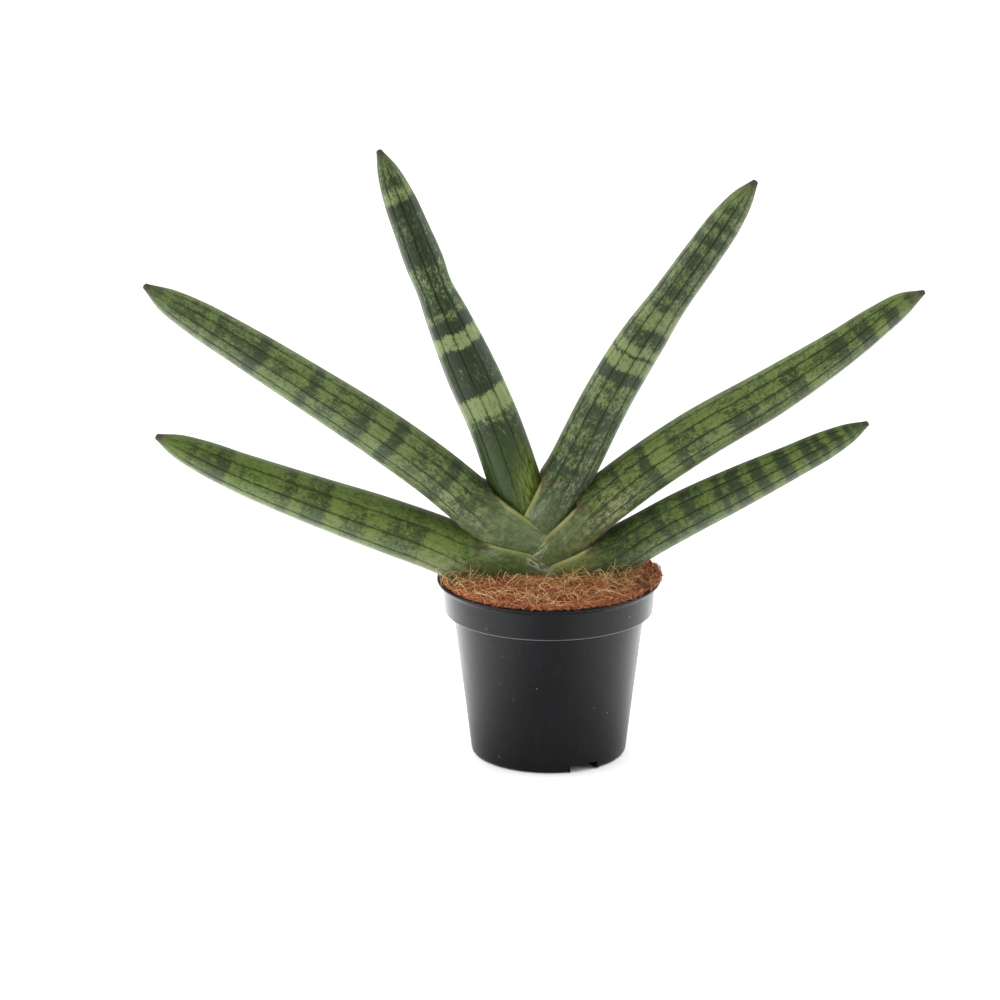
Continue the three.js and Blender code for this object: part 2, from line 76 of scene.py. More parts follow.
CHANNEL_WIDTH = 16.0
CHANNEL_HEIGHT = 4.2
CHANNEL_INNER_RADIUS = 28.7
DRAIN_RADIUS = 3.0
DRAIN_FROM_AXIS = FOOT_RADIUS - 6.9
SOIL_FLECK = (32.5, -38.0, 77.5)


def paint(red, green, blue):
    """A colour from 0 to 255 as seen on a screen, in the linear values that a shader takes."""
    parts = []
    for value in (red, green, blue):
        share = value / 255
        parts.append(share / 12.92 if share < 0.04045 else ((share + 0.055) / 1.055) ** 2.4)
    return (*parts, 1.0)


class Wire:
    """What comes out of a node. Sums, products and the like add Math nodes to the same tree."""

    def __init__(self, nodes, socket):
        self.nodes = nodes
        self.socket = socket

    def output(self, name):
        """Another output of the same node."""
        return Wire(self.nodes, self.socket.node.outputs[name])

    def __add__(self, other):
        return self.nodes.math("ADD", self, other)

    def __radd__(self, other):
        return self.nodes.math("ADD", other, self)

    def __sub__(self, other):
        return self.nodes.math("SUBTRACT", self, other)

    def __rsub__(self, other):
        return self.nodes.math("SUBTRACT", other, self)

    def __mul__(self, other):
        return self.nodes.math("MULTIPLY", self, other)

    def __rmul__(self, other):
        return self.nodes.math("MULTIPLY", other, self)

    def __truediv__(self, other):
        return self.nodes.math("DIVIDE", self, other)


class Nodes:
    """The nodes of one material or geometry tree."""

    def __init__(self, tree):
        self.tree = tree

    def add(self, kind, settings=None, values=None, out=0):
        """A node with its settings, then the values or wires of its sockets, by name or number."""
        node = self.tree.nodes.new(kind)
        for name, value in (settings or {}).items():
            setattr(node, name, value)
        for name, value in (values or {}).items():
            if isinstance(value, Wire):
                self.tree.links.new(value.socket, node.inputs[name])
            else:
                node.inputs[name].default_value = value
        return Wire(self, node.outputs[out])

    def math(self, operation, *values):
        """A Math node on numbers or wires."""
        return self.add("ShaderNodeMath", {"operation": operation}, dict(enumerate(values)))

    def blend(self, share, first, second):
        """Two colours mixed by a share from 0 to 1."""
        settings = {"data_type": "RGBA", "clamp_factor": True}
        return self.add("ShaderNodeMix", settings, {0: share, 6: first, 7: second}, 2)

    def step(self, value, low, high):
        """0 below low, 1 above high, and smooth between them."""
        values = {"Value": value, "From Min": low, "From Max": high}
        return self.add("ShaderNodeMapRange", {"interpolation_type": "SMOOTHSTEP"}, values)

    def fall(self, value, low, high):
        """1 below low, 0 above high, and smooth between them."""
        values = {"Value": value, "From Min": low, "From Max": high, "To Min": 1.0, "To Max": 0.0}
        return self.add("ShaderNodeMapRange", {"interpolation_type": "SMOOTHSTEP"}, values)

    def stretch(self, vector, scale):
        """A vector with each part multiplied by its own number."""
        return self.add("ShaderNodeVectorMath", {"operation": "MULTIPLY"}, {0: vector, 1: scale})

    def distance(self, vector, place):
        """How far a point is from a fixed place."""
        settings = {"operation": "DISTANCE"}
        return self.add("ShaderNodeVectorMath", settings, {0: vector, 1: place}, "Value")

    def attribute(self, name, out="Fac"):
        """What the mesh stores under this name."""
        return self.add("ShaderNodeAttribute", {"attribute_name": name}, None, out)

    def noise(self, vector, scale, detail=2.0, roughness=0.5):
        """Soft noise, spread to about 0 to 1."""
        values = {"Vector": vector, "Scale": scale, "Detail": detail, "Roughness": roughness}
        raw = self.add("ShaderNodeTexNoise", None, values)
        values = {"Value": raw, "From Min": 0.26, "From Max": 0.74}
        return self.add("ShaderNodeMapRange", None, values)

    def mm(self):
        """A point's place in the plant, in millimetres."""
        place = self.add("ShaderNodeTexCoord", None, None, "Object")
        return self.stretch(place, (1000.0, 1000.0, 1000.0))

    def parts(self, vector):
        """The x, y and z of a vector."""
        x = self.add("ShaderNodeSeparateXYZ", None, {0: vector})
        return x, x.output(1), x.output(2)


class Finish(Nodes):
    """A material under construction, with a base colour that takes one tint after another."""

    def __init__(self, name):
        self.material = bpy.data.materials.new(name)
        self.material.use_nodes = True
        super().__init__(self.material.node_tree)
        self.shader = self.tree.nodes["Principled BSDF"]
        self.colour = None

    def tint(self, share, red, green, blue):
        """Lays a colour as seen on a screen over the base colour so far."""
        self.colour = self.blend(share, self.colour, paint(red, green, blue))

    def set(self, **values):
        """Sets or links the shader's own sockets: Base_Color is the socket Base Color."""
        for name, value in values.items():
            socket = self.shader.inputs[name.replace("_", " ")]
            if isinstance(value, Wire):
                self.tree.links.new(value.socket, socket)
            else:
                socket.default_value = value
        return self.material

    def bump(self, height, depth_mm):
        """Relief: height from 0 to 1 stands for this depth."""
        values = {"Height": height, "Strength": 1.0, "Distance": depth_mm * MM}
        return self.add("ShaderNodeBump", None, values, "Normal")


def solid(name, points, faces, material):
    """A piece at the origin from points in millimetres and faces that look outwards."""
    mesh = bpy.data.meshes.new(name)
    mesh.from_pydata((np.asarray(points, float) * MM).tolist(), [], faces)
    mesh.materials.append(material)
    mesh.update()
    piece = bpy.data.objects.new(name, mesh)
    bpy.context.scene.collection.objects.link(piece)
    return piece


def one_finish(piece, material):
    """Gives all of a piece one material."""
    piece.data.materials.clear()
    piece.data.materials.append(material)


def smooth(piece, degrees):
    """Smooth faces, with sharp edges where the surface turns by more than this."""
    piece.data.shade_smooth()
    piece.data.set_sharp_from_angle(angle=math.radians(degrees))


def bake_modifiers(piece):
    """The piece keeps the mesh that its modifiers make, and the modifiers go."""
    depsgraph = bpy.context.evaluated_depsgraph_get()
    mesh = bpy.data.meshes.new_from_object(piece.evaluated_get(depsgraph))
    piece.modifiers.clear()
    piece.data = mesh
    mesh.name = piece.name


def combine(piece, operation, *tools):
    """Cuts the tools out of the piece, or joins them to it. The tools are used up."""
    for tool in tools:
        modifier = piece.modifiers.new("cut", "BOOLEAN")
        modifier.operation = operation
        modifier.solver = "MANIFOLD"
        modifier.object = tool
        bake_modifiers(piece)
        bpy.data.objects.remove(tool)


def turned(profile, sides):
    """Points and faces of a solid turned about Z from a profile that starts and ends on the axis."""
    inner = profile[1:-1]
    angles = np.arange(sides) * 2 * math.pi / sides
    points = [(0.0, 0.0, profile[0][1])]
    for radius, z in inner:
        points += [(radius * math.cos(a), radius * math.sin(a), z) for a in angles]
    points.append((0.0, 0.0, profile[-1][1]))
    last = len(points) - 1
    faces = []
    for j in range(sides):
        k = (j + 1) % sides
        faces.append((0, 1 + k, 1 + j))
        for i in range(len(inner) - 1):
            low = 1 + i * sides
            high = low + sides
            faces.append((low + j, low + k, high + k, high + j))
        top = 1 + (len(inner) - 1) * sides
        faces.append((top + j, top + k, last))
    return points, faces


def rounded(corners, radii, steps=4):
    """A profile with its corners rounded in a few steps: each corner has its own radius."""
    outline = [corners[0]]
    for i in range(1, len(corners) - 1):
        before, corner, after = (Vector(corners[k]) for k in (i - 1, i, i + 1))
        radius = radii[i]
        if radius == 0:
            outline.append(tuple(corner))
            continue
        back = (before - corner).normalized()
        ahead = (after - corner).normalized()
        half = back.angle(ahead) / 2
        longest = 0.45 * min((before - corner).length, (after - corner).length)
        run = min(radius / math.tan(half), longest)
        for step in range(steps + 1):
            share = step / steps
            point = (corner + back * run) * (1 - share) ** 2
            point += corner * 2 * share * (1 - share)
            point += (corner + ahead * run) * share**2
            outline.append(tuple(point))
    outline.append(corners[-1])
    return outline


def block(name, low, high, turn_degrees, material):
    """A box between two corners, turned about Z."""
    turn = math.radians(turn_degrees)
    c, s = math.cos(turn), math.sin(turn)
    (x0, y0, z0), (x1, y1, z1) = low, high
    corners = [(x, y, z) for z in (z0, z1) for y in (y0, y1) for x in (x0, x1)]
    points = [(c * x - s * y, s * x + c * y, z) for x, y, z in corners]
    faces = [(0, 2, 3, 1), (4, 5, 7, 6), (0, 1, 5, 4), (2, 6, 7, 3), (0, 4, 6, 2), (1, 3, 7, 5)]
    return solid(name, points, faces, material)


def black_plastic():
    """Black polypropylene with a soft shine, a little uneven, with dust, a fleck of soil and a painted
    highlight along the collar's lower edge.
    """
    finish = Finish("black plastic")
    place = finish.mm()
    cloud = finish.noise(place, 0.05, 3.0)
    drawn = finish.noise(finish.stretch(place, (1.0, 1.0, 0.12)), 0.5, 3.0)
    finish.colour = finish.blend(cloud, paint(8, 9, 11), paint(13, 14, 16))
    finish.tint(finish.step(drawn, 0.5, 0.8) * 0.1, 30, 32, 36)
    near = finish.add("ShaderNodeTexVoronoi", None, {"Vector": place, "Scale": 0.16})
    chosen = finish.step(finish.parts(near.output("Color"))[0], 0.62, 0.64)
    dust = finish.fall(near, 0.02, 0.085) * chosen
    finish.tint(dust * 0.6, 128, 126, 122)
    finish.tint(finish.fall(finish.distance(place, SOIL_FLECK), 0.5, 1.1) * 0.7, 104, 66, 40)
    x, y, z = finish.parts(place)
    out = finish.math("SQRT", x * x + y * y)
    # a painted highlight: a pale grey line along the collar's lower edge
    off_step = finish.math("ABSOLUTE", z - COLLAR_BOTTOM_Z - 0.2)
    wear_and_highlight = finish.fall(off_step, 0.2, 0.55) * finish.step(out, 54.6, 55.2)
    finish.tint(wear_and_highlight * (0.45 + 0.4 * cloud), 92, 94, 97)
    relief = finish.bump(finish.noise(place, 0.9, 2.0), 0.02)
    return finish.set(Base_Color=finish.colour, Roughness=0.30 + 0.08 * drawn + 0.25 * dust,
                      Normal=relief, Specular_IOR_Level=0.12)


plastic = black_plastic()
body_low_radius = FOOT_RADIUS + (BODY_TOP_RADIUS - FOOT_RADIUS) * BODY_LOW_Z / COLLAR_BOTTOM_Z
# the moulding's section, up its outside and down its inside, and the round on each corner
moulding = [
    (0, 0), (FOOT_RADIUS, 0), (body_low_radius, BODY_LOW_Z), (BODY_TOP_RADIUS, COLLAR_BOTTOM_Z),
    (COLLAR_LOW_RADIUS, COLLAR_BOTTOM_Z), (COLLAR_RADIUS, COLLAR_TOP_Z),
    (LIP_RADIUS, RIM_Z - LIP_THICKNESS), (LIP_RADIUS, RIM_Z), (LIP_INNER_RADIUS, RIM_Z),
    (COLLAR_RADIUS - WALL, COLLAR_TOP_Z), (COLLAR_LOW_RADIUS - WALL, COLLAR_BOTTOM_Z + WALL),
    (BODY_TOP_RADIUS - WALL, COLLAR_BOTTOM_Z + WALL), (FOOT_RADIUS - WALL, WALL), (0, WALL),
]
corner_radii = [0, 3.0, 0, 0.3, 0.6, 2.5, 0.5, 0.5, 0.4, 2.0, 0.5, 0.5, 1.2, 0]
pot = solid("pot_shell", *turned(rounded(moulding, corner_radii), POT_SIDES), plastic)
for direction in CHANNEL_DIRECTIONS:
    cover = block("cover", (CHANNEL_INNER_RADIUS - WALL, -CHANNEL_WIDTH / 2 - WALL, WALL / 2),
                  (FOOT_RADIUS - 0.4, CHANNEL_WIDTH / 2 + WALL, CHANNEL_HEIGHT + WALL),
                  direction, plastic)
    notch = block("notch", (CHANNEL_INNER_RADIUS, -CHANNEL_WIDTH / 2, -1),
                  (FOOT_RADIUS + 4, CHANNEL_WIDTH / 2, CHANNEL_HEIGHT), direction, plastic)
    turn = math.radians(direction)
    rod = [(0, 0), (DRAIN_RADIUS, 0), (DRAIN_RADIUS, 9), (0, 9)]
    drain = solid("drain", *turned(rod, 32), plastic)
    for vertex in drain.data.vertices:
        vertex.co.x += DRAIN_FROM_AXIS * math.cos(turn) * MM
        vertex.co.y += DRAIN_FROM_AXIS * math.sin(turn) * MM
    combine(pot, "UNION", cover)
    combine(pot, "DIFFERENCE", notch, drain)
smooth(pot, 32)
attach(pot, "root")
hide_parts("pot")

# ================================================================ leaves
# Six succulent leaves, round and grooved lengthwise, in one flat fan. Each is a solid blade whose
# base opens into a sheath that clasps all the younger leaves, so every older one is cut by those
# inside it.
GAP = 0.3  # between a leaf and what it is cut out of

# From the youngest leaf to the oldest. Stations are x, z and width down the centre line, and margin
# is x and z down the sheath's edge; lean is how far back the tip stands. The first groove and the
# tip's twist are in degrees. Slant tilts the bands; shine is how strong the painted highlight on the
# sheath's far end is, and faded how far its foot is worn.
LEAVES = [
    {
        "name": "leaf_left_high", "side": 1, "lean": 6, "grooves": 10, "first": 91, "twist": 16,
        "half_depth": 12.0, "slant": -1.0, "shine": 0.0, "faded": 0.0, "smooth_from": 160,
        "stations": [
            (-89.7, 330.4, 3.6), (-86.1, 321.9, 10.5), (-80.9, 309, 16), (-72.3, 287, 19.3),
            (-65.3, 268.8, 20.7), (-61.9, 259.6, 19.6), (-54.1, 241.2, 23.3), (-42, 212.9, 27.7),
            (-29.4, 183.6, 28), (-18.6, 151.6, 28.3), (-9, 118, 27), (-4, 86, 24),
        ],
        "margin": [],
    },
    {
        "name": "leaf_right_high", "side": -1, "lean": -6, "grooves": 11, "first": 94, "twist": 15,
        "half_depth": 14.8, "slant": 0.3, "shine": 0.0, "faded": 0.35,
        "stations": [
            (107.8, 316.9, 3.8), (102.2, 309.2, 11.3), (94.1, 297.3, 16.8), (80.7, 277.4, 19.3),
            (61.7, 249.4, 20.8), (51.3, 233.3, 23.9), (32.2, 200.4, 26), (13.4, 161.6, 26.7),
            (3.2, 140.4, 26.7), (-1, 114, 26), (0, 86, 24),
        ],
        "margin": [(-3.9, 153.6), (-13, 136.5)],
    },
    {
        "name": "leaf_left_middle", "side": 1, "lean": -10, "grooves": 12, "first": 92, "twist": 0,
        "half_depth": 16.0, "slant": 0.0, "shine": 0.2, "faded": 0.5,
        "stations": [
            (-213.1, 261.3, 3.6), (-203.6, 254.5, 12.5), (-189, 245.1, 18.2), (-165, 229.4, 21.8),
            (-127.9, 204.5, 24.9), (-88, 176.9, 27.1), (-54.8, 151.2, 27.4), (-36.9, 134.8, 27.2),
            (-17, 110, 27), (-8, 86, 24),
        ],
        "margin": [(-28.3, 145.8), (-14, 135.8), (-1.2, 127.2)],
    },
    {
        "name": "leaf_right_middle", "side": -1, "lean": 8, "grooves": 12, "first": 84, "twist": 22,
        "half_depth": 17.2, "slant": -0.6, "shine": 0.7, "faded": 0.8,
        "stations": [
            (198, 253, 3.2), (188.6, 247.8, 11.7), (175.5, 238.7, 16.7), (154.2, 223, 20.7),
            (119.2, 200, 25.6), (75.4, 173.9, 27.8), (38.6, 147.6, 27.5), (19.2, 130.9, 27.2),
            (7, 110, 27), (4, 86, 24),
        ],
        "margin": [(15.2, 140.7), (-1.8, 125), (-9.9, 116.5)],
    },
    {
        "name": "leaf_left_low", "side": 1, "lean": 4, "grooves": 10, "first": 89, "twist": 5,
        "half_depth": 18.4, "slant": 0.0, "shine": 0.9, "faded": 0.35,
        "stations": [
            (-208.5, 174.2, 3.9), (-199.8, 170.3, 11.7), (-186.7, 164.5, 17.3), (-165.3, 155.1, 21.5),
            (-126.9, 140.4, 26.3), (-85.5, 125.6, 29.9), (-61.7, 116.8, 30.3), (-42.3, 108.5, 30),
            (-22, 98, 28), (-11, 87, 25),
        ],
        "margin": [(-35.8, 121.5), (-10.7, 115.4), (1.5, 110.1)],
    },
    {
        "name": "leaf_right_low", "side": -1, "lean": -8, "grooves": 11, "first": 82, "twist": 18,
        "half_depth": 19.6, "slant": 0.0, "shine": 0.3, "faded": 0.1,
        "stations": [
            (168.3, 185.1, 3.4), (161.9, 181.3, 9), (148.8, 173.9, 14.9), (128.7, 163, 18.4),
            (100.7, 148.3, 22.7), (71.7, 132.9, 25.1), (46.1, 117.9, 25.4), (27.3, 106.8, 25.2),
            (14, 97, 26), (7, 87, 25),
        ],
        "margin": [(22.7, 118.7), (1.5, 109.6), (-4.4, 103)],
    },
]
# How dark the skin is: rows of a stretch in millimetres from the tip, and the levels there on the
# upper, the middle and the lower strips between grooves, from 0, pale, to 1, dark green.
BANDS = {
    "leaf_left_high": [
        (0, 6, 0.5, 0.5, 0.5), (9, 14, 0.5, 0.5, 0.5), (15, 20, 0.45, 0.62, 0.6),
        (22, 28, 0.42, 0.34, 0.3), (29.5, 36, 0.8, 0.82, 0.82), (38, 42, 0.66, 0.78, 0.66),
        (43, 50, 0.66, 0.74, 0.6), (51, 55, 0.68, 0.76, 0.74), (56, 63.5, 0.72, 0.76, 0.8),
        (66, 74, 0.54, 0.56, 0.5), (76, 84, 0.52, 0.56, 0.58), (86.5, 91, 0.7, 0.7, 0.72),
        (92.5, 96, 0.5, 0.46, 0.46), (98, 103.5, 0.95, 0.96, 0.97), (105.2, 112, 0.12, 0.12, 0.14),
        (113.5, 122, 0.88, 0.9, 0.92), (124, 135, 0.74, 0.78, 0.84), (136.5, 139.6, 0.84, 0.9, 0.9),
        (141, 151.5, 0.1, 0.12, 0.1), (154, 157, 0.5, 0.55, 0.5), (159, 172, 0.74, 0.78, 0.8),
        (176, 205, 0.6, 0.66, 0.66), (225, 260, 0.6, 0.64, 0.64),
    ],
    "leaf_right_high": [
        (0, 6, 0.42, 0.42, 0.42), (8, 16, 0.38, 0.4, 0.42), (17.5, 21.5, 0.5, 0.62, 0.56),
        (23, 27, 0.38, 0.4, 0.4), (28.3, 31, 0.75, 0.68, 0.82), (32.5, 36, 0.42, 0.48, 0.46),
        (37.3, 42, 0.86, 0.78, 0.86), (43.5, 48.5, 0.46, 0.48, 0.5), (50, 56, 0.62, 0.76, 0.62),
        (58, 69, 0.48, 0.54, 0.5), (70.8, 75, 0.62, 0.68, 0.74), (76.5, 79.5, 0.46, 0.48, 0.5),
        (80.7, 83.5, 0.6, 0.62, 0.5), (85, 96, 0.36, 0.26, 0.26), (98.3, 102.5, 0.66, 0.82, 0.84),
        (103.5, 106.5, 0.62, 0.66, 0.6), (108, 112.4, 0.14, 0.16, 0.16), (113.1, 114.1, 0.8, 0.8, 0.8),
        (114.9, 122.5, 0.14, 0.16, 0.16), (124, 129.8, 0.95, 0.97, 0.95),
        (131.5, 145, 0.42, 0.42, 0.44), (147.5, 158, 0.62, 0.7, 0.72), (160.5, 169, 0.46, 0.54, 0.56),
        (170.5, 173.5, 0.66, 0.72, 0.66), (175.5, 181, 0.46, 0.5, 0.52), (182.8, 187, 0.74, 0.8, 0.8),
        (190, 206, 0.6, 0.62, 0.66), (212, 260, 0.58, 0.6, 0.64),
    ],
    "leaf_left_middle": [
        (0, 6, 0.5, 0.5, 0.5), (7.6, 8.6, 0.66, 0.72, 0.66), (10, 16, 0.44, 0.46, 0.46),
        (18, 36, 0.52, 0.6, 0.58), (38.5, 41.5, 0.42, 0.46, 0.44), (43.2, 46.6, 0.72, 0.74, 0.74),
        (48.5, 51, 0.48, 0.42, 0.42), (52.5, 59, 0.5, 0.6, 0.56), (61, 65, 0.5, 0.66, 0.6),
        (67.6, 72.4, 0.8, 0.9, 0.88), (74.5, 77.5, 0.42, 0.44, 0.4), (79, 88, 0.44, 0.56, 0.48),
        (90, 99, 0.4, 0.42, 0.4), (101.3, 105, 0.8, 0.84, 0.82), (106.8, 112, 0.4, 0.42, 0.42),
        (113.5, 116, 0.44, 0.46, 0.6), (117, 120, 0.62, 0.64, 0.5), (121.5, 128, 0.42, 0.48, 0.44),
        (130, 133, 0.56, 0.64, 0.62), (133.6, 138.5, 0.66, 0.74, 0.72), (139.8, 141, 0.5, 0.55, 0.6),
        (142.5, 151.5, 0.36, 0.28, 0.28), (153.4, 158.4, 0.82, 0.9, 0.88),
        (160.2, 165.5, 0.36, 0.32, 0.32), (167, 170, 0.42, 0.5, 0.46), (171.2, 175.5, 0.6, 0.6, 0.56),
        (177, 181, 0.42, 0.42, 0.38), (183, 187, 0.46, 0.52, 0.56), (188.6, 192.8, 0.82, 0.86, 0.8),
        (194.5, 199, 0.42, 0.34, 0.36), (201, 212, 0.58, 0.6, 0.64), (214, 217, 0.48, 0.44, 0.48),
        (218.5, 221.5, 0.6, 0.66, 0.62), (224, 275, 0.52, 0.5, 0.54),
    ],
    "leaf_right_middle": [
        (0, 6, 0.42, 0.42, 0.42), (8.2, 9.6, 0.6, 0.74, 0.72), (11, 17.2, 0.38, 0.36, 0.36),
        (18.6, 20.5, 0.42, 0.5, 0.84), (21, 24.4, 0.62, 0.72, 0.86), (26.2, 32.6, 0.42, 0.46, 0.32),
        (34.4, 37.4, 0.48, 0.76, 0.86), (38, 41.4, 0.6, 0.8, 0.86), (43.2, 49.5, 0.44, 0.54, 0.5),
        (51, 56.6, 0.62, 0.86, 0.8), (58.2, 67, 0.46, 0.6, 0.52), (69, 76, 0.4, 0.42, 0.34),
        (77.8, 82.6, 0.5, 0.7, 0.78), (83.6, 84.6, 0.42, 0.5, 0.6), (85.4, 87.4, 0.52, 0.7, 0.7),
        (89, 95.5, 0.4, 0.4, 0.5), (97.3, 101.8, 0.48, 0.56, 0.56), (103.5, 106, 0.42, 0.42, 0.46),
        (107.6, 113.5, 0.48, 0.56, 0.66), (116.2, 121, 0.48, 0.6, 0.78), (122.5, 125, 0.42, 0.46, 0.66),
        (127, 139, 0.32, 0.36, 0.4), (141, 146.8, 0.44, 0.58, 0.62), (148, 149.4, 0.36, 0.44, 0.48),
        (150.6, 156.2, 0.5, 0.62, 0.74), (158.3, 168, 0.28, 0.28, 0.3),
        (169.8, 174.4, 0.72, 0.82, 0.84), (176.5, 186.5, 0.38, 0.42, 0.5),
        (188, 190.6, 0.7, 0.68, 0.66), (192.5, 200, 0.44, 0.42, 0.48), (201.3, 203.8, 0.56, 0.6, 0.56),
        (206, 226, 0.48, 0.46, 0.54), (235, 266, 0.5, 0.5, 0.55),
    ],
    "leaf_left_low": [
        (0, 6, 0.5, 0.5, 0.5), (8, 18.5, 0.44, 0.46, 0.46), (20, 22, 0.56, 0.66, 0.62),
        (23.5, 26, 0.42, 0.5, 0.5), (27.5, 33, 0.46, 0.58, 0.7), (34.8, 40.8, 0.68, 0.86, 0.84),
        (42.5, 49.5, 0.34, 0.46, 0.44), (51, 71, 0.36, 0.4, 0.44), (73.2, 76.8, 0.6, 0.68, 0.76),
        (79, 84.5, 0.34, 0.38, 0.4), (86.4, 93, 0.58, 0.62, 0.76), (94.2, 97.4, 0.64, 0.82, 0.8),
        (99.5, 107, 0.3, 0.28, 0.32), (109, 118, 0.44, 0.56, 0.62), (120.5, 129, 0.32, 0.36, 0.42),
        (131, 139, 0.42, 0.56, 0.6), (140.5, 150.5, 0.5, 0.6, 0.6), (153, 168, 0.32, 0.26, 0.24),
        (173, 218, 0.42, 0.42, 0.46),
    ],
    "leaf_right_low": [
        (0, 4, 0.5, 0.5, 0.5), (5.3, 6.8, 0.7, 0.74, 0.7), (8, 9, 0.42, 0.42, 0.42),
        (9.8, 12, 0.74, 0.78, 0.7), (13, 15.6, 0.36, 0.36, 0.38), (16.8, 20, 0.8, 0.84, 0.82),
        (21.4, 25.3, 0.36, 0.38, 0.36), (26.4, 29, 0.8, 0.84, 0.86), (30, 31.4, 0.46, 0.42, 0.46),
        (32.6, 37.2, 0.78, 0.82, 0.8), (38.8, 45, 0.36, 0.34, 0.36), (46.5, 51.8, 0.82, 0.88, 0.84),
        (53.5, 59.6, 0.34, 0.32, 0.34), (61.2, 66, 0.82, 0.86, 0.84), (67.6, 72, 0.34, 0.34, 0.34),
        (73.6, 79.8, 0.8, 0.84, 0.82), (81.2, 84, 0.44, 0.44, 0.42), (85.2, 88, 0.76, 0.82, 0.78),
        (89.6, 95.5, 0.38, 0.36, 0.38), (96.8, 100, 0.52, 0.56, 0.52), (101.4, 107, 0.74, 0.8, 0.74),
        (108.4, 112.4, 0.44, 0.44, 0.42), (113.4, 115.4, 0.56, 0.56, 0.6),
        (116.4, 118.6, 0.42, 0.42, 0.4), (119.8, 124, 0.76, 0.78, 0.74), (126, 139, 0.54, 0.54, 0.5),
        (141, 145, 0.66, 0.68, 0.66), (148, 190, 0.58, 0.58, 0.6),
    ],
}
DEPTH_SHARE = 0.9  # of a leaf's width
TIP_LENGTH = 1.5
TWIST_FADES = 0.12  # over this share of the leaf, from its tip
GROOVE_DEPTH = 0.4
GROOVES_START = (0.03, 0.12)
GROOVES_FADE = (0.70, 0.84)
GROOVE_LOSS = 0.85  # what the grooves lose where they fade
DIP_DEPTH = 0.12  # a shallow dip lies across each groove

# The next four are degrees round a leaf of ten grooves, and less on one that has more.
TEN_GROOVES_PITCH = 36
GROOVE_HALF_WIDTH = 1.5
DIP_HALF_WIDTH = 6.0
FINE_ANGLES = (-16.2, -13, -9, -6, -3.8, -2.4, -1.5, -0.7, 0, 0.7, 1.5, 2.4, 3.8, 6, 9, 13, 16.2)
COARSE_ANGLES = (-13, -6.5, 0, 6.5, 13)
FINE_STEP = 1.4
COARSE_STEP = 5.0

# The sheath, in millimetres along the leaf: it widens above and below its upper end, to a little
# more than the margin's distance, and deepens on the way there.
SHEATH_WIDENS_ABOVE = 9.0
SHEATH_WIDENS_BELOW = 13.0
SHEATH_DEEPENS = 35.0
SHEATH_SPREAD_ABOVE = 1.16
SHEATH_SPREAD_BELOW = 1.35
CLOSED_SHEATH = 35.0  # the length of the youngest leaf's base, which has no opening
SHEATH_RUNS_ON = 15.0  # how far the margin is drawn on for the sheath's form,
RIM_RUNS_ON = 30.0  # for the rim on its skin
CUT_RUNS_ON = 90.0  # and for the cut that opens it
CUT_HALF_DEPTH = 60.0
CUT_LIFT = 0.15
NO_MARGIN = 99.0

# The skin's pattern lies on a leaf of these sizes.
GRAIN_RADIUS = 12.0
STRIP_RADIUS = 12.5
MAP_LENGTH = 100.0


def ease(value, low, high):
    """0 below low, 1 above high, and smooth between them."""
    share = np.clip((value - low) / (high - low), 0, 1)
    return share * share * (3 - 2 * share)


class LeafLine:
    """The smooth centre line of a leaf and its half width, by the share from tip to base."""

    def __init__(self, leaf):
        self.leaf = leaf
        stations = np.array([(x, z, width / 2) for x, z, width in leaf["stations"]])
        before = 2 * stations[0] - stations[1]
        after = 2 * stations[-1] - stations[-2]
        self.points = np.vstack([before, stations, after])
        self.chords = np.linalg.norm(np.diff(self.points, axis=0), axis=1)
        self.spans = len(stations) - 1
        self.steps = np.linspace(0, self.spans, 4001)
        places = self.at_step(self.steps)
        run = np.concatenate([[0], np.cumsum(np.linalg.norm(np.diff(places, axis=0), axis=1))])
        self.shares = run / run[-1]
        flat = np.linalg.norm(np.diff(places[:, :2], axis=0), axis=1)
        self.length = float(flat.sum())

    def at_step(self, step):
        """The x, z and half width at a number of stations from the tip."""
        span = np.clip(step.astype(int), 0, self.spans - 1)
        w = (step - span)[:, None]
        p0, p1, p2, p3 = (self.points[span + i] for i in range(4))
        d0, d1, d2 = (self.chords[span + i][:, None] for i in range(3))
        m1 = ((p1 - p0) / d0 - (p2 - p0) / (d0 + d1) + (p2 - p1) / d1) * d1
        m2 = ((p2 - p1) / d1 - (p3 - p1) / (d1 + d2) + (p3 - p2) / d2) * d1
        return ((2 * w**3 - 3 * w**2 + 1) * p1 + (w**3 - 2 * w**2 + w) * m1
                + (3 * w**2 - 2 * w**3) * p2 + (w**3 - w**2) * m2)

    def at(self, share):
        """Place, direction along, direction to the leaf's upper edge, and half width, as arrays."""
        share = np.atleast_1d(np.asarray(share, float))
        step = np.interp(share, self.shares, self.steps)
        place = self.at_step(step)
        low = self.at_step(np.clip(step - 1e-4, 0, self.spans))
        high = self.at_step(np.clip(step + 1e-4, 0, self.spans))
        along = (high - low)[:, :2]
        along /= np.linalg.norm(along, axis=1)[:, None]
        side = self.leaf["side"]
        centre = np.column_stack([place[:, 0], self.leaf["lean"] * (1 - share) ** 2, place[:, 1]])
        ahead = np.column_stack([along[:, 0], np.zeros(len(share)), along[:, 1]])
        up = np.column_stack([-along[:, 1] * side, np.zeros(len(share)), along[:, 0] * side])
        return centre, ahead, up, place[:, 2]


def margin_beyond(leaf, distance):
    """The sheath's margin, drawn on by a distance to where it is hidden."""
    (x0, z0), (x1, z1) = leaf["margin"][-2:]
    scale = distance / math.hypot(x1 - x0, z1 - z0)
    return (x1 + (x1 - x0) * scale, z1 + (z1 - z0) * scale)


